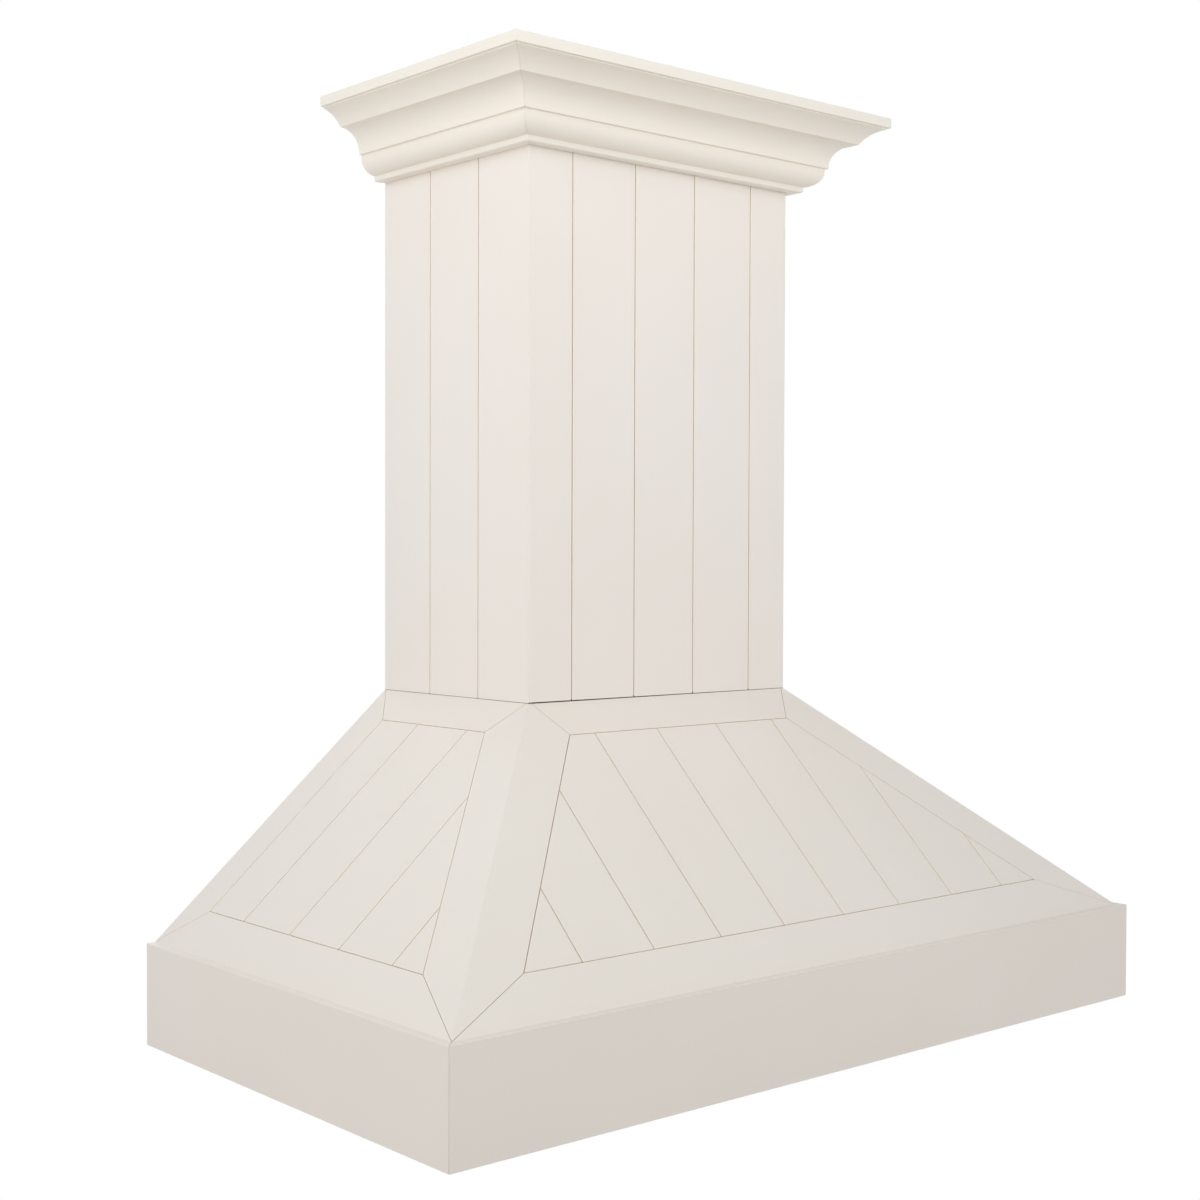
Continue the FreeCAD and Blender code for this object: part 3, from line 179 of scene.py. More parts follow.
foot_low, foot_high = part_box("chimney_front_boards")
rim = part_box("front_slope_rails")[1][2]


def joint_shade_mask(tree, place):
    """The painted shade's mask: one where a face looks up under the chimney's foot, else nothing.
    """
    spot = add(tree, "ShaderNodeSeparateXYZ", {}, {0: place})
    aside = add(tree, "ShaderNodeMath", {"operation": "ABSOLUTE"}, {0: spot.outputs["X"]})
    normal = add(tree, "ShaderNodeNewGeometry", {}).outputs["True Normal"]
    facing = add(tree, "ShaderNodeSeparateXYZ", {}, {0: normal})
    inside = add(tree, "ShaderNodeMath", {"operation": "GREATER_THAN", 1: LOOKS_UP},
                 {0: facing.outputs["Z"]})
    for operation, limit, source in (
            ("LESS_THAN", foot_high[0] - SHADE_INSET, aside.outputs[0]),
            ("GREATER_THAN", foot_low[1] + SHADE_INSET, spot.outputs["Y"]),
            ("LESS_THAN", rim + JOINT_RISE, spot.outputs["Z"])):
        test = add(tree, "ShaderNodeMath", {"operation": operation, 1: limit}, {0: source})
        inside = add(tree, "ShaderNodeMath", {"operation": "MINIMUM"},
                     {0: inside.outputs[0], 1: test.outputs[0]})
    return inside.outputs[0]


print("the joint lies under", round(1000 * rim, 1), "mm, within", round(1000 * foot_high[0], 1),
      "mm of the middle")

# %% Paint
# Each coat drifts between these two. The tints differ from assembly to assembly as painted light.
COATS_TINTED_FOR_LIGHT = {"slope": ("#F4EBE0", "#EFE5D9"), "crown": ("#F7EEE1", "#F2E8DA"),
         "chimney": ("#F6EDE3", "#F1E7DC"), "apron": ("#F2E8DD", "#EDE2D6")}
DRIFT_MM = 180.0
WAVE_MM = 70.0
WAVE_RISE = 0.0006
PEEL_MM = 2.4
PEEL_RISE = 0.00008
SATIN_LEAST = 0.38
SATIN_MOST = 0.50
PAINT_IOR = 1.5

for coat, (light, shade) in COATS_TINTED_FOR_LIGHT.items():
    material, tree, place = new_finish("satin paint sprayed on poplar, %s coat" % coat)
    drift = add(tree, "ShaderNodeTexNoise", {"Scale": per_metre(DRIFT_MM), "Detail": 3.0},
                {"Vector": place})
    wave = add(tree, "ShaderNodeTexNoise", {"Scale": per_metre(WAVE_MM), "Detail": 2.0},
               {"Vector": place})
    peel = add(tree, "ShaderNodeTexNoise", {"Scale": per_metre(PEEL_MM), "Detail": 2.0},
               {"Vector": place})
    dried = add(tree, "ShaderNodeMix", {"data_type": "RGBA", 6: linear(shade), 7: linear(light)},
                {0: drift.outputs[0]})
    # Painted shade: the joint under the chimney's foot turns near-black brown.
    colour = add(tree, "ShaderNodeMix", {"data_type": "RGBA", 7: linear(JOINT_PAINTED_SHADE)},
                 {0: joint_shade_mask(tree, place), 6: dried.outputs[2]})
    gloss = add(tree, "ShaderNodeMapRange", {"To Min": SATIN_LEAST, "To Max": SATIN_MOST},
                {"Value": wave.outputs[0]})
    broad = add(tree, "ShaderNodeBump", {"Strength": 0.35, "Distance": WAVE_RISE},
                {"Height": wave.outputs[0]})
    fine = add(tree, "ShaderNodeBump", {"Strength": 0.25, "Distance": PEEL_RISE},
               {"Height": peel.outputs[0], "Normal": broad.outputs[0]})
    close_finish(tree, {"IOR": PAINT_IOR},
                 {"Base Color": colour.outputs[2], "Roughness": gloss.outputs[0],
                  "Normal": fine.outputs[0]})
    finishes[coat + "_paint"] = material
print("paint drifts over", DRIFT_MM, "mm, peel", PEEL_MM, "mm, coats:", list(COATS_TINTED_FOR_LIGHT))

# %% [markdown]
# ## Thin spray and painted shade in the grooves
# Into the grooves between the boards the spray goes thinly, and the wood shows through it as a warm
# tan, duller than the faces. The tan is also painted shade: it warms the grooves as their shade
# does.
# It could be the paint above with a mask for depth. A finish of its own is simpler, because each
# edge of a board is a face that can be given it: two near tans and one small noise, for the mist
# that reached some places more than others.

# %% Thin spray
# Two tans of the thin spray, warmed as painted shade of the grooves.
THIN_SPRAY_SHADE_DARK = "#F8E6CE"
THIN_SPRAY_SHADE_PALE = "#FAECD8"
THIN_MM = 12.0
THIN_ROUGH = 0.6

material, tree, place = new_finish("thin spray and painted groove shade on poplar edges")
mist = add(tree, "ShaderNodeTexNoise", {"Scale": per_metre(THIN_MM), "Detail": 2.0},
           {"Vector": place})
colour = add(tree, "ShaderNodeMix",
             {"data_type": "RGBA", 6: linear(THIN_SPRAY_SHADE_DARK), 7: linear(THIN_SPRAY_SHADE_PALE)},
             {0: mist.outputs[0]})
close_finish(tree, {"Roughness": THIN_ROUGH, "IOR": PAINT_IOR}, {"Base Color": colour.outputs[2]})
finishes["thin_paint"] = material
print("mist of", THIN_MM, "mm on the edges")

# %% [markdown]
# ## Bare pine, poplar and plywood
# The frame that nobody sees is left bare, and so are the backs of the painted boards. Planed wood
# has grain lines a few millimetres apart that run with the piece, whichever way it lies. One
# pattern for all would run across some of them. So it is stretched along X and a Mapping node turns
# it to the piece's own direction. Pine is yellow with brown late wood, poplar paler and greener. A
# cut across the grain shows the ends of the fibres instead, which drink in the light and look
# darker and plainer; a face is such a cut when its normal points along the grain. Plywood has a
# wide-grained face and shows its plies as stripes on every cut edge: the stripes are driven by
# depth, and again the normal says where an edge is.

# %% Planed wood along any direction
# Early wood, late wood, and the pale and the dark of the end grain.
SPECIES = {"pine": ("#E2C79A", "#BF945C", "#C6A06A", "#B48A54"),
           "poplar": ("#DCCFB0", "#C3B48F", "#BEAD86", "#AD9C76")}
GRAIN_MM = 5.0
GRAIN_RUN_MM = 160.0
LATE_WOOD_FROM = 0.35
LATE_WOOD_FULL = 0.68
PORE_MM = 0.9
PORE_DEPTH = 0.0002
# End grain begins and is full where the normal's part along the grain is this.
END_GRAIN_FROM = 0.5
END_GRAIN_FULL = 0.7
PLANED_ROUGH = 0.62
WOOD_IOR = 1.5


def planed(species, way):
    """Planed wood with its grain along a direction, made once for each direction."""
    name = "planed %s, grain along %.2f %.2f %.2f" % (species, *way)
    if name in bpy.data.materials:
        return bpy.data.materials[name]
    early, late, end_pale, end_dark = SPECIES[species]
    material, tree, place = new_finish(name)
    turn = Vector((1, 0, 0)).rotation_difference(way).to_euler()
    along = add(tree, "ShaderNodeMapping",
                {"vector_type": "TEXTURE", "Rotation": turn,
                 "Scale": (GRAIN_RUN_MM / GRAIN_MM, 1, 1)}, {"Vector": place})
    rings = add(tree, "ShaderNodeTexNoise",
                {"Scale": per_metre(GRAIN_MM), "Detail": 4.0, "Distortion": 0.6},
                {"Vector": along.outputs[0]})
    pores = add(tree, "ShaderNodeTexNoise", {"Scale": per_metre(PORE_MM), "Detail": 1.0},
                {"Vector": along.outputs[0]})
    sharper = add(tree, "ShaderNodeMapRange",
                  {"From Min": LATE_WOOD_FROM, "From Max": LATE_WOOD_FULL},
                  {"Value": rings.outputs[0]})
    side = add(tree, "ShaderNodeMix", {"data_type": "RGBA", 6: linear(early), 7: linear(late)},
               {0: sharper.outputs[0]})
    end = add(tree, "ShaderNodeMix",
              {"data_type": "RGBA", 6: linear(end_pale), 7: linear(end_dark)},
              {0: pores.outputs[0]})
    normal = add(tree, "ShaderNodeNewGeometry", {}).outputs["True Normal"]
    lean = add(tree, "ShaderNodeVectorMath", {"operation": "DOT_PRODUCT", 1: way}, {0: normal})
    across = add(tree, "ShaderNodeMath", {"operation": "ABSOLUTE"}, {0: lean.outputs["Value"]})
    is_end = add(tree, "ShaderNodeMapRange",
                 {"From Min": END_GRAIN_FROM, "From Max": END_GRAIN_FULL},
                 {"Value": across.outputs[0]})
    colour = add(tree, "ShaderNodeMix", {"data_type": "RGBA"},
                 {0: is_end.outputs[0], 6: side.outputs[2], 7: end.outputs[2]})
    ridges = add(tree, "ShaderNodeBump", {"Strength": 0.3, "Distance": PORE_DEPTH},
                 {"Height": pores.outputs[0]})
    close_finish(tree, {"Roughness": PLANED_ROUGH, "IOR": WOOD_IOR},
                 {"Base Color": colour.outputs[2], "Normal": ridges.outputs[0]})
    return material


print("grain every", GRAIN_MM, "mm in", list(SPECIES))

# %% Plywood
PLY = 0.0015
FACE_PALE = "#DDBF91"
FACE_DARK = "#C49C66"
PLY_DARK = "#9C7346"
FIGURE_MM = 9.0
FIGURE_RUN_MM = 180.0
FIBRE_RISE = 0.0002
FACE_LEAN = 0.7
SANDED_ROUGH = 0.58

material, tree, place = new_finish("sanded birch plywood")
along = add(tree, "ShaderNodeMapping", {"Scale": (FIGURE_MM / FIGURE_RUN_MM, 1.0, 1.0)},
            {"Vector": place})
figure = add(tree, "ShaderNodeTexNoise",
             {"Scale": per_metre(FIGURE_MM), "Detail": 4.0, "Distortion": 1.2},
             {"Vector": along.outputs[0]})
face = add(tree, "ShaderNodeMix",
           {"data_type": "RGBA", 6: linear(FACE_PALE), 7: linear(FACE_DARK)},
           {0: figure.outputs[0]})
depth = add(tree, "ShaderNodeSeparateXYZ", {}, {0: place})
layer = add(tree, "ShaderNodeMath", {"operation": "PINGPONG", 1: PLY}, {0: depth.outputs["Y"]})
dark_ply = add(tree, "ShaderNodeMath", {"operation": "GREATER_THAN", 1: PLY / 2},
               {0: layer.outputs[0]})
edge = add(tree, "ShaderNodeMix",
           {"data_type": "RGBA", 6: linear(FACE_PALE), 7: linear(PLY_DARK)},
           {0: dark_ply.outputs[0]})
normal = add(tree, "ShaderNodeNewGeometry", {}).outputs["True Normal"]
facing = add(tree, "ShaderNodeSeparateXYZ", {}, {0: normal})
flatness = add(tree, "ShaderNodeMath", {"operation": "ABSOLUTE"}, {0: facing.outputs["Y"]})
is_face = add(tree, "ShaderNodeMath", {"operation": "GREATER_THAN", 1: FACE_LEAN},
              {0: flatness.outputs[0]})
colour = add(tree, "ShaderNodeMix", {"data_type": "RGBA"},
             {0: is_face.outputs[0], 6: edge.outputs[2], 7: face.outputs[2]})
fibres = add(tree, "ShaderNodeBump", {"Strength": 0.25, "Distance": FIBRE_RISE},
             {"Height": figure.outputs[0]})
close_finish(tree, {"Roughness": SANDED_ROUGH, "IOR": WOOD_IOR},
             {"Base Color": colour.outputs[2], "Normal": fibres.outputs[0]})
finishes["plywood"] = material
print("plies of", 1000 * PLY, "mm")

# %% [markdown]
# ## Brushed stainless steel
# The tray is brushed along the hood's width and the filters from front to back. Brushing leaves
# hairlines a tenth of a millimetre wide and tens of millimetres long. They are drawn coarser than
# that, or they would vanish in the picture. Roughness alone would look like cast metal. So they
# move both the roughness and the bump, because a scratch is a change of slope before it is a change
# of shade. Patches as broad as a hand are a little duller than others, where the belt pressed less.

# %% Brushed steel
HAIRLINE_MM = 0.5
HAIRLINE_RUN_MM = 45.0
HAIRLINE_DEPTH = 0.0001
PATCH_MM = 90.0
DULLEST_GAIN = 0.14
ALONG_WIDTH = (HAIRLINE_MM / HAIRLINE_RUN_MM, 1.0, 1.0)
ALONG_DEPTH = (1.0, HAIRLINE_MM / HAIRLINE_RUN_MM, 1.0)
# Slot, shade, the way it is brushed, and its roughness where brightest.
STEELS = (("brushed_steel", "#B9B8B4", ALONG_WIDTH, 0.30),
          ("baffle_steel", "#C6C5C1", ALONG_DEPTH, 0.26),
          ("satin_chrome", "#D5D4D1", ALONG_WIDTH, 0.20),
          ("shaft_steel", "#A9A9AC", ALONG_DEPTH, 0.24))

for slot, shade, run, rough in STEELS:
    material, tree, place = new_finish(slot.replace("_", " ") + ", hairline brushed")
    along = add(tree, "ShaderNodeMapping", {"Scale": run}, {"Vector": place})
    hairs = add(tree, "ShaderNodeTexNoise", {"Scale": per_metre(HAIRLINE_MM), "Detail": 3.0},
                {"Vector": along.outputs[0]})
    patches = add(tree, "ShaderNodeTexNoise", {"Scale": per_metre(PATCH_MM), "Detail": 3.0},
                  {"Vector": place})
    both = add(tree, "ShaderNodeMath", {"operation": "ADD"},
               {0: hairs.outputs[0], 1: patches.outputs[0]})
    dull = add(tree, "ShaderNodeMapRange",
               {"From Min": 0.6, "From Max": 1.4, "To Min": rough, "To Max": rough + DULLEST_GAIN},
               {"Value": both.outputs[0]})
    scratch = add(tree, "ShaderNodeBump", {"Strength": 0.12, "Distance": HAIRLINE_DEPTH},
                  {"Height": hairs.outputs[0]})
    close_finish(tree, {"Base Color": linear(shade), "Metallic": 1.0},
                 {"Roughness": dull.outputs[0], "Normal": scratch.outputs[0]})
    finishes[slot] = material
print("brushed finishes:", [entry[0] for entry in STEELS])

# %% [markdown]
# ## Galvanised sheet, plated screws and aluminium
# Hot-dip zinc freezes into spangles: flat crystals about a fingernail across, each tilted its own
# way, so each is a little brighter or duller than its neighbour. Noise would run them together; a
# Voronoi pattern has one value for each cell. Screws are electroplated, finer, bluer, unspangled.
# Aluminium is as even: straight from the mill it has a soft sheen, and anodised it is duller. These
# three differ only in shade and gloss, so one tree serves them all, with a faint cloud in the gloss
# and pits too fine to count.

# %% Galvanised sheet
SPANGLE_MM = 14.0
SPANGLE_DARK = "#9EA3A6"
SPANGLE_PALE = "#C3C7C9"
SPANGLE_BRIGHTEST = 0.34
SPANGLE_DULLEST = 0.52
FROST_MM = 1.5
FROST_RISE = 0.0001

material, tree, place = new_finish("hot-dip galvanised sheet")
spangle = add(tree, "ShaderNodeTexVoronoi", {"Scale": per_metre(SPANGLE_MM), "Randomness": 1.0},
              {"Vector": place})
tilt = add(tree, "ShaderNodeSeparateXYZ", {}, {0: spangle.outputs["Color"]})
colour = add(tree, "ShaderNodeMix",
             {"data_type": "RGBA", 6: linear(SPANGLE_DARK), 7: linear(SPANGLE_PALE)},
             {0: tilt.outputs["X"]})
dull = add(tree, "ShaderNodeMapRange", {"To Min": SPANGLE_BRIGHTEST, "To Max": SPANGLE_DULLEST},
           {"Value": tilt.outputs["Y"]})
frost = add(tree, "ShaderNodeTexNoise", {"Scale": per_metre(FROST_MM), "Detail": 2.0},
            {"Vector": place})
grain = add(tree, "ShaderNodeBump", {"Strength": 0.1, "Distance": FROST_RISE},
            {"Height": frost.outputs[0]})
close_finish(tree, {"Metallic": 1.0},
             {"Base Color": colour.outputs[2], "Roughness": dull.outputs[0],
              "Normal": grain.outputs[0]})
finishes["zinc_steel"] = material
print("spangles of", SPANGLE_MM, "mm")

# %% Plate and aluminium
CLOUD_MM = 6.0
PIT_MM = 0.6
PIT_DEPTH = 0.00005
# Slot, name, shade, and its roughness where brightest and dullest.
EVEN_METALS = (("zinc_screws", "bright zinc plate", "#BFC4CB", 0.22, 0.36),
               ("flap_aluminium", "mill-finish aluminium sheet", "#C9CACB", 0.30, 0.42),
               ("lamp_aluminium", "satin anodised aluminium", "#C4C4C3", 0.34, 0.44))

for slot, name, shade, brightest, dullest in EVEN_METALS:
    material, tree, place = new_finish(name)
    cloud = add(tree, "ShaderNodeTexNoise", {"Scale": per_metre(CLOUD_MM), "Detail": 4.0},
                {"Vector": place})
    dull = add(tree, "ShaderNodeMapRange", {"To Min": brightest, "To Max": dullest},
               {"Value": cloud.outputs[0]})
    pits = add(tree, "ShaderNodeTexNoise", {"Scale": per_metre(PIT_MM), "Detail": 2.0},
               {"Vector": place})
    grain = add(tree, "ShaderNodeBump", {"Strength": 0.08, "Distance": PIT_DEPTH},
                {"Height": pits.outputs[0]})
    close_finish(tree, {"Base Color": linear(shade), "Metallic": 1.0},
                 {"Roughness": dull.outputs[0], "Normal": grain.outputs[0]})
    finishes[slot] = material
print("even metals:", [entry[1] for entry in EVEN_METALS])

# %% [markdown]
# ## Acrylic, laminate and enamel
# The display is a smoked acrylic window, polished like glass. The lights are opal acrylic: milky,
# so they glow evenly and hide the diodes. The control board is laminate under a green mask, and the
# motor is cased in black enamel that has crept a little at each edge as it dried. Each is two near
# colours that cloud into each other, a gloss that goes with them and a slight rise, so again one
# tree serves all four.

# %% Acrylic, laminate and enamel
# Slot, name, two colours, the size of a cloud in millimetres, roughness where brightest and
# dullest, index of refraction, and rise.
PLAIN = (("smoked_glass", "smoked acrylic, polished",
          "#0B0B0D", "#141418", 40.0, 0.05, 0.09, 1.49, 0.00002),
         ("opal_diffuser", "opal acrylic, matted",
          "#F4F2EA", "#EDEBE2", 60.0, 0.42, 0.50, 1.49, 0.00003),
         ("circuit_board", "laminate under green mask",
          "#174A2A", "#1E5A33", 3.0, 0.35, 0.50, 1.55, 0.0001),
         ("motor_enamel", "black stove enamel on steel",
          "#161618", "#1E1E21", 8.0, 0.28, 0.40, 1.52, 0.00008))

for slot, name, first, second, cloud_mm, brightest, dullest, ior, rise in PLAIN:
    material, tree, place = new_finish(name)
    cloud = add(tree, "ShaderNodeTexNoise", {"Scale": per_metre(cloud_mm), "Detail": 3.0},
                {"Vector": place})
    colour = add(tree, "ShaderNodeMix", {"data_type": "RGBA", 6: linear(first), 7: linear(second)},
                 {0: cloud.outputs[0]})
    dull = add(tree, "ShaderNodeMapRange", {"To Min": brightest, "To Max": dullest},
               {"Value": cloud.outputs[0]})
    skin = add(tree, "ShaderNodeBump", {"Strength": 0.3, "Distance": rise},
               {"Height": cloud.outputs[0]})
    close_finish(tree, {"IOR": ior},
                 {"Base Color": colour.outputs[2], "Roughness": dull.outputs[0],
                  "Normal": skin.outputs[0]})
    finishes[slot] = material
print("finishes:", len(finishes))

# %% [markdown]
# ## Eased edges on the joinery
# A carpenter never leaves an edge as sharp as the saw did: paint would crack on it. The slopes get
# the lightest easing, chimney and crown a little more, and the apron, which stands out into the
# kitchen, the most. Rounding could be modelled edge by edge. It is simpler to copy each node, weld
# its triangles back into flat faces, and let a Bevel modifier round every edge that turns by more
# than a soft angle.
#
# Paint is sprayed from outside, so faces that look into the hood keep the bare poplar: a face is
# inside when its normal points the way that the table gives for its board. Faces that stand square
# to that way are the edges of boards and rails, in the grooves, and take the thin spray, whose warm
# tan is partly painted shade. Each assembly takes its own coat, whose tint is painted light. Pine
# is bare all over. The grain of each solid runs along its longest edge, because that is how a board
# is cut.

# %% Weld a node and find its boards
WELD = 0.00002
FLAT_ANGLE = math.radians(0.5)
SOFT_ANGLE = math.radians(30)


def welded(mesh):
    """A node's loose triangles joined into flat faces, with its soft edges marked."""
    board = bmesh.new()
    board.from_mesh(mesh)
    bmesh.ops.remove_doubles(board, verts=board.verts, dist=WELD)
    bmesh.ops.dissolve_limit(board, angle_limit=FLAT_ANGLE, verts=board.verts, edges=board.edges)
    for edge in board.edges:
        edge.smooth = edge.calc_face_angle(math.pi) < SOFT_ANGLE
    return board


def solids(board):
    """The separate solids of a node, each as the list of its faces, always in the same order."""
    found = set()
    for start in board.faces:
        if start in found:
            continue
        found.add(start)
        solid = [start]
        for face in solid:
            for edge in face.edges:
                if len(edge.link_faces) == 2:
                    beside = [other for other in edge.link_faces if other not in found]
                    found.update(beside)
                    solid.extend(beside)
        yield solid


def grain_way(solid):
    """The direction of a solid's longest edge."""
    edges = (edge for face in solid for edge in face.edges)
    longest = max(edges, key=lambda edge: edge.calc_length())
    way = (longest.verts[1].co - longest.verts[0].co).normalized()
    return Vector([round(c, 2) + 0.0 for c in (way if max(way, key=abs) > 0 else -way)])


print("an edge is soft below", round(math.degrees(SOFT_ANGLE)), "degrees")

# %% Ease the joinery
EASED_MM = {"apron": 2.0, "crown": 0.6, "chimney": 0.5,
            "front": 0.3, "left": 0.3, "right": 0.3, "canopy": 0.6}
EASING_STEPS = 2
# The way into the hood from each board.
INWARD = {"front_slope": (0, 1, -1), "left_slope": (1, 0, -1), "right_slope": (-1, 0, -1),
          "chimney_front": (0, 1, 0), "chimney_left": (1, 0, 0), "chimney_right": (-1, 0, 0),
          "crown_front": (0, 1, 1), "crown_left": (1, 0, 1), "crown_right": (-1, 0, 1)}
# A face looks in, or stands in a groove, when its normal's part along that way is over or under.
LOOKS_IN = 0.9
IN_GROOVE = 0.5


def eased_copy(node):
    """A welded copy that stands for a wooden node, with its edges rounded and its wood dressed."""
    part = node.split("_")[0]
    species = "poplar" if slot_of[node] == "painted_wood" else "pine"
    inward = Vector(INWARD.get("_".join(node.split("_")[:2]), (0, 0, 0))).normalized()
    boarded = inward.length > 0 and part != "crown"
    mesh = nodes[node].data.copy()
    skins = mesh.materials
    skins.clear()
    if species == "poplar":
        # The coat of the assembly, tinted as painted light.
        skins.append(finishes.get(part + "_paint", finishes["slope_paint"]))
        skins.append(finishes["thin_paint"])
    board = welded(mesh)
    for solid in solids(board):
        wood = planed(species, grain_way(solid))
        bare = [face for face in solid
                if species == "pine" or face.normal.dot(inward) > LOOKS_IN]
        if bare and wood.name not in skins:
            skins.append(wood)
        for face in solid:
            face.smooth = True
            face.material_index = skins.find(wood.name) if face in bare else 0
            # Edges in the grooves take the thin spray, whose tan is partly painted shade.
            if boarded and abs(face.normal.dot(inward)) < IN_GROOVE:
                face.material_index = 1
    board.to_mesh(mesh)
    board.free()
    piece = bpy.data.objects.new(node + "_eased", mesh)
    scene.collection.objects.link(piece)
    rounding = piece.modifiers.new("eased edges", "BEVEL")
    rounding.width = EASED_MM[part] / 1000
    rounding.segments = EASING_STEPS
    rounding.limit_method = "ANGLE"
    rounding.angle_limit = SOFT_ANGLE
    rounding.harden_normals = True
    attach(piece, body_of[node])
    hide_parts(node)
    return piece


pieces = {node: eased_copy(node) for node in nodes
          if slot_of[node] in ("painted_wood", "bare_pine")}
print("eased:", sorted(pieces))

# %% [markdown]
# ## Give every other piece its finish
# The steel, plastic and plywood pieces have their true shape already and only lack a surface. Each
# could be dressed by hand. The record says what each node is made of, so a finish is looked up by
# that name instead.

# %% Dress the pieces
others = [node for node in nodes if node not in pieces]
for node in others:
    skins = nodes[node].data.materials
    skins.clear()
    skins.append(finishes[slot_of[node]])
print("dressed:", len(others))

# %% [markdown]
# ## Signs on the keys
# A key says what it does with a printed sign: a broken ring for power, a bulb for the light, minus
# and plus for the fan's speed, a clock for the timer. Each is ink a tenth of a millimetre thick,
# pressed on with a soft pad, which leaves it matt and a little uneven. A sign could be a picture on
# the key; as a mesh it stays sharp from close by. A disc that is inset and loses its middle is a
# ring, a grid of one face is a bar, and one extrude gives all of them their thickness. Someone who
# looks up from the cooker sees the front edge at the top, so a sign is drawn upright and then
# turned over onto the key's lower face.

# %% Ink
INK_DARK = "#333336"
INK_PALE = "#464649"
INK_ROUGH = 0.55
INK_IOR = 1.5
SPECK_MM = 0.5

ink, tree, place = new_finish("grey ink, pad printed")
speck = add(tree, "ShaderNodeTexNoise", {"Scale": per_metre(SPECK_MM), "Detail": 2.0},
            {"Vector": place})
colour = add(tree, "ShaderNodeMix",
             {"data_type": "RGBA", 6: linear(INK_DARK), 7: linear(INK_PALE)},
             {0: speck.outputs[0]})
close_finish(tree, {"Roughness": INK_ROUGH, "IOR": INK_IOR}, {"Base Color": colour.outputs[2]})
print("ink with specks of", SPECK_MM, "mm")

# %% Strokes
STROKE = 0.0008
RING_SIDES = 32


def bar(sign, x, y, width, height):
    """A straight stroke about its middle."""
    made = bmesh.ops.create_grid(sign, x_segments=1, y_segments=1, size=0.5)["verts"]
    bmesh.ops.scale(sign, verts=made, vec=(width, height, 1))
    bmesh.ops.translate(sign, verts=made, vec=(x, y, 0))


def ring(sign, x, y, radius, opening=0.0):
    """A round stroke, open at the top over the given width."""
    made = bmesh.ops.create_circle(sign, cap_ends=True, segments=RING_SIDES,
                                   radius=radius)["verts"]
    disc = made[0].link_faces[0]
    band = bmesh.ops.inset_region(sign, faces=[disc], thickness=STROKE, use_boundary=True,
                                  use_even_offset=True)["faces"]
    middles = {face: face.calc_center_median() for face in band}
    spare = [face for face in band
             if middles[face].y > 0 and abs(middles[face].x) < opening / 2]
    corners = {vert for face in band for vert in face.verts}
    bmesh.ops.delete(sign, geom=[disc] + spare, context="FACES")
    bmesh.ops.translate(sign, verts=[vert for vert in corners if vert.is_valid], vec=(x, y, 0))


print("strokes", 1000 * STROKE, "mm wide")

# %% Draw the signs
SIGN_RADIUS = 0.0032
POWER_BAR = 0.0030
POWER_BAR_UP = 0.0021
BULB_RADIUS = 0.0025
BULB_UP = 0.0008
# How far down each turn of the bulb's cap is, and how wide.
BULB_CAP = ((0.0023, 0.0022), (0.0036, 0.0014))
PLUS_WIDTH = 0.0060
MINUTE_HAND = 0.0018
HOUR_HAND = 0.0014


def power_sign(sign):
    """A ring, broken at the top by a bar."""
    ring(sign, 0, 0, SIGN_RADIUS, POWER_BAR)
    bar(sign, 0, POWER_BAR_UP, STROKE, POWER_BAR)


def light_sign(sign):
    """A bulb over the two turns of its cap."""
    ring(sign, 0, BULB_UP, BULB_RADIUS)
    for down, width in BULB_CAP:
        bar(sign, 0, -down, width, STROKE)


def slower_sign(sign):
    """A minus."""
    bar(sign, 0, 0, PLUS_WIDTH, STROKE)


def faster_sign(sign):
    """A minus with a stroke above and below it, which make it a plus."""
    slower_sign(sign)
    for side in (-1, 1):
        bar(sign, 0, side * (PLUS_WIDTH + STROKE) / 4, STROKE, (PLUS_WIDTH - STROKE) / 2)


def timer_sign(sign):
    """A clock face at three."""
    ring(sign, 0, 0, SIGN_RADIUS)
    bar(sign, 0, MINUTE_HAND / 2, STROKE, MINUTE_HAND + STROKE)
    bar(sign, (HOUR_HAND + STROKE) / 2, 0, HOUR_HAND, STROKE)


SIGNS = {"power": power_sign, "light": light_sign, "slower": slower_sign,
         "faster": faster_sign, "timer": timer_sign}
print("signs:", list(SIGNS))

# %% Print the keys
INK_THICK = 0.0001

for name, draw in SIGNS.items():
    low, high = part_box("button_" + name)
    sign = bmesh.new()
    draw(sign)
    grown = bmesh.ops.extrude_face_region(sign, geom=sign.faces[:])["geom"]
    lifted = [item for item in grown if isinstance(item, bmesh.types.BMVert)]
    bmesh.ops.translate(sign, verts=lifted, vec=(0, 0, -INK_THICK))
    bmesh.ops.scale(sign, verts=sign.verts, vec=(1, -1, 1))
    bmesh.ops.translate(sign, verts=sign.verts,
                        vec=((low[0] + high[0]) / 2, (low[1] + high[1]) / 2, low[2]))
    bmesh.ops.recalc_face_normals(sign, faces=sign.faces)
    mesh = bpy.data.meshes.new(name + "_sign")
    sign.to_mesh(mesh)
    sign.free()
    mesh.materials.append(ink)
    piece = bpy.data.objects.new(name + "_sign", mesh)
    scene.collection.objects.link(piece)
    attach(piece, body_of["button_" + name])
    print(name, "sign on a key of",
          [round(1000 * (high[i] - low[i]), 1) for i in range(2)], "mm")

# %% [markdown]
# ## Floor
# The hood hangs on a wall, so the floor lies well below it, at the height it would be in a kitchen.
# It is plain and pale. More lamps would keep it pale, but would also throw light up into the hood.
# So it glows a little instead, and only for what the eye sees, straight or in metal and glass.

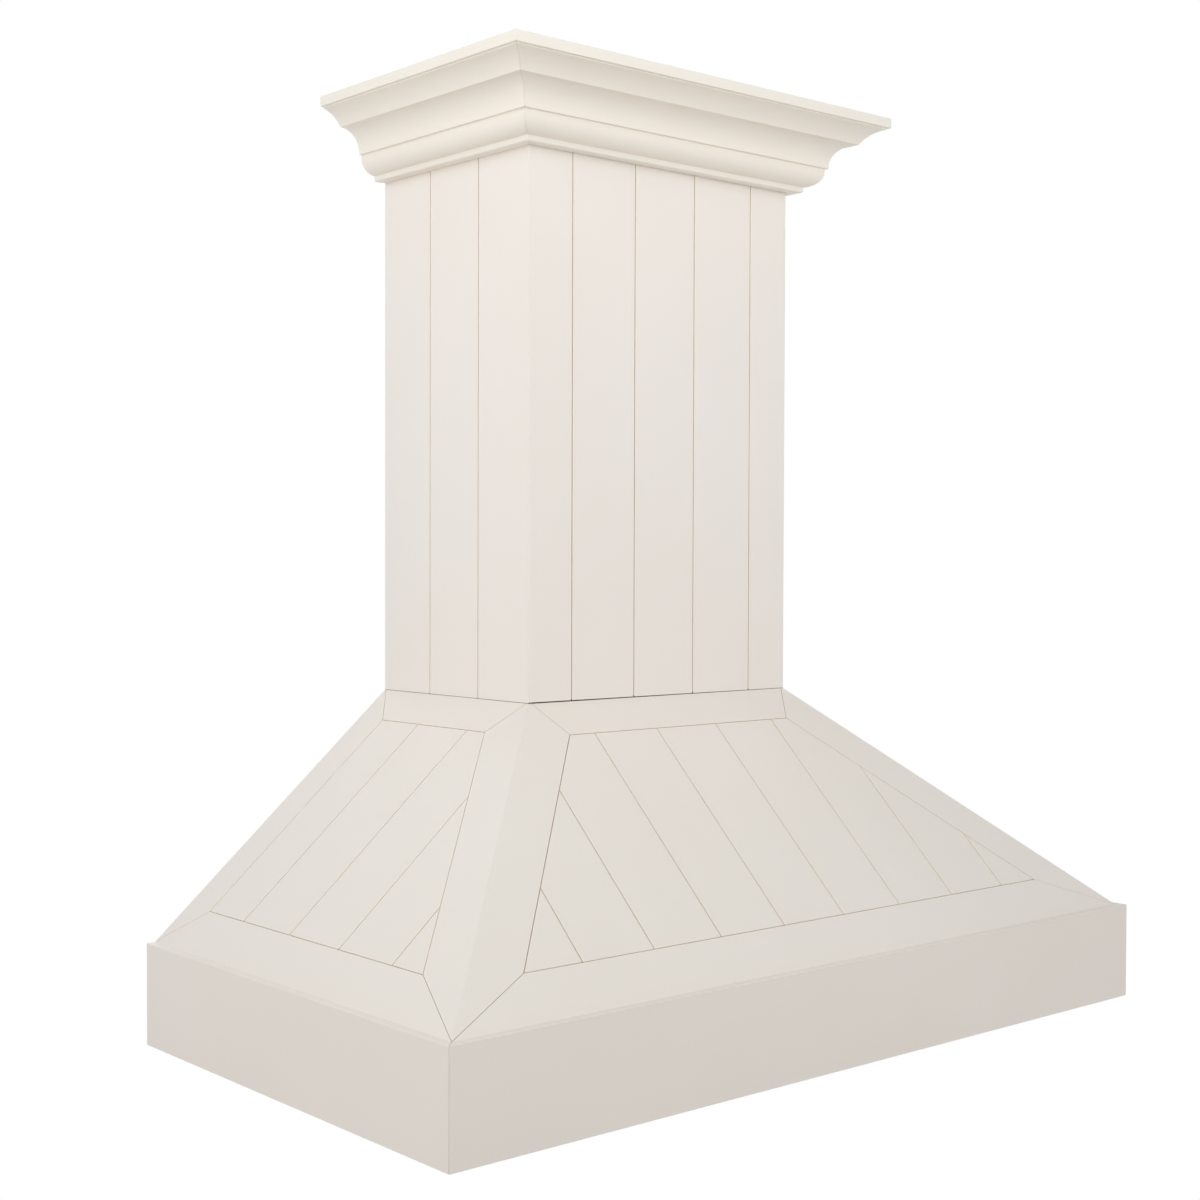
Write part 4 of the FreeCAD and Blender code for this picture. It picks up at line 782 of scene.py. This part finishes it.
# %% Floor
FLOOR_DROP = 1.65
FLOOR_RADIUS = 2.6
FLOOR_SIDES = 96
FLOOR_FORWARD = 0.25
FLOOR_CLOUD_MM = 400.0
FLOOR_DARK = "#F1E7E2"
FLOOR_PALE = "#F5ECE7"
FLOOR_ROUGH = 0.8
GLOW_COLOUR = "#F3F2F0"
GLOW = 0.40


def seen(tree):
    """One for what the eye sees, straight, in metal or through glass; nothing for falling light."""
    ray = add(tree, "ShaderNodeLightPath", {})
    sharp = add(tree, "ShaderNodeMath", {"operation": "MAXIMUM"},
                {0: ray.outputs["Is Glossy Ray"], 1: ray.outputs["Is Transmission Ray"]})
    return add(tree, "ShaderNodeMath", {"operation": "MAXIMUM"},
               {0: ray.outputs["Is Camera Ray"], 1: sharp.outputs[0]}).outputs[0]


sheet = bmesh.new()
bmesh.ops.create_circle(sheet, cap_ends=True, segments=FLOOR_SIDES, radius=FLOOR_RADIUS)
bmesh.ops.translate(sheet, verts=sheet.verts, vec=(0, -FLOOR_FORWARD, -FLOOR_DROP))
floor_mesh = bpy.data.meshes.new("floor")
sheet.to_mesh(floor_mesh)
sheet.free()
floor = bpy.data.objects.new("floor", floor_mesh)
scene.collection.objects.link(floor)
material, tree, place = new_finish("pale studio floor")
cloud = add(tree, "ShaderNodeTexNoise", {"Scale": per_metre(FLOOR_CLOUD_MM), "Detail": 2.0},
            {"Vector": place})
colour = add(tree, "ShaderNodeMix",
             {"data_type": "RGBA", 6: linear(FLOOR_DARK), 7: linear(FLOOR_PALE)},
             {0: cloud.outputs[0]})
glow = add(tree, "ShaderNodeMath", {"operation": "MULTIPLY", 1: GLOW}, {0: seen(tree)})
close_finish(tree, {"Roughness": FLOOR_ROUGH, "Emission Color": linear(GLOW_COLOUR)},
             {"Base Color": colour.outputs[2], "Emission Strength": glow.outputs[0]})
floor_mesh.materials.append(material)
print("floor", FLOOR_DROP, "m below the hood")

# %% [markdown]
# ## Room and lamps
# The world is a soft room, brighter low down than overhead, and the camera, metal and glass see it
# as plain white. One large lamp would light the hood evenly. Softboxes at the height of the chimney
# get weaker towards the apron instead, as the light does in the picture. A card on the right keeps
# that side open, one at the ceiling lights the top of the crown, and one lights the back. All are a
# touch blue, as daylight from a window is.

# %% Room
ROOM_HORIZON = 0.75
ROOM_ZENITH = 0.30
ROOM_SEEN = 1.0
DAYLIGHT = "#F7FBFF"
WHITE = "#FFFFFF"

world = bpy.data.worlds.new("white room")
world.use_nodes = True
scene.world = world
tree = world.node_tree
tree.nodes.clear()
around = add(tree, "ShaderNodeTexCoord", {}).outputs["Generated"]
way = add(tree, "ShaderNodeSeparateXYZ", {}, {0: around})
soft = add(tree, "ShaderNodeMapRange", {"To Min": ROOM_HORIZON, "To Max": ROOM_ZENITH},
           {"Value": way.outputs["Z"]})
by_eye = seen(tree)
level = add(tree, "ShaderNodeMix", {3: ROOM_SEEN}, {0: by_eye, 2: soft.outputs[0]})
tint = add(tree, "ShaderNodeMix", {"data_type": "RGBA", 6: linear(DAYLIGHT), 7: linear(WHITE)},
           {0: by_eye})
room = add(tree, "ShaderNodeBackground", {},
           {"Color": tint.outputs[2], "Strength": level.outputs[0]})
add(tree, "ShaderNodeOutputWorld", {}, {"Surface": room.outputs[0]})
print("room from", ROOM_HORIZON, "at the horizon to", ROOM_ZENITH, "overhead")

# %% Lamps
# Name, place, width and height, and watts.
LAMPS = (("front softbox", (-0.4, -1.55, 0.85), (0.8, 0.8), 2.7),
         ("left softbox", (-1.5, -0.35, 0.85), (0.8, 0.8), 3.9),
         ("high front softbox", (-0.3, -1.1, 1.35), (0.8, 0.8), 2.2),
         ("high left softbox", (-1.2, -0.3, 1.35), (0.8, 0.8), 2.3),
         ("right card", (1.6, -1.9, 1.2), (1.4, 1.4), 3.5),
         ("ceiling card", (0, -0.2, 1.35), (0.5, 0.35), 0.45),
         ("back card", (0.5, 1.9, 1.1), (1.6, 1.6), 6.0))
LAMP_AIM = Vector((0, -0.2, 0.6))

for name, spot, (width, height), watts in LAMPS:
    lamp_data = bpy.data.lights.new(name, "AREA")
    lamp_data.shape = "RECTANGLE"
    lamp_data.size = width
    lamp_data.size_y = height
    lamp_data.energy = watts
    lamp_data.color = linear(DAYLIGHT)[:3]
    lamp = bpy.data.objects.new(name, lamp_data)
    lamp.location = spot
    lamp.rotation_euler = (LAMP_AIM - Vector(spot)).to_track_quat("-Z", "Y").to_euler()
    lamp.visible_camera = False
    scene.collection.objects.link(lamp)
scene.view_settings.view_transform = "Standard"
print("lamps:", [entry[0] for entry in LAMPS])
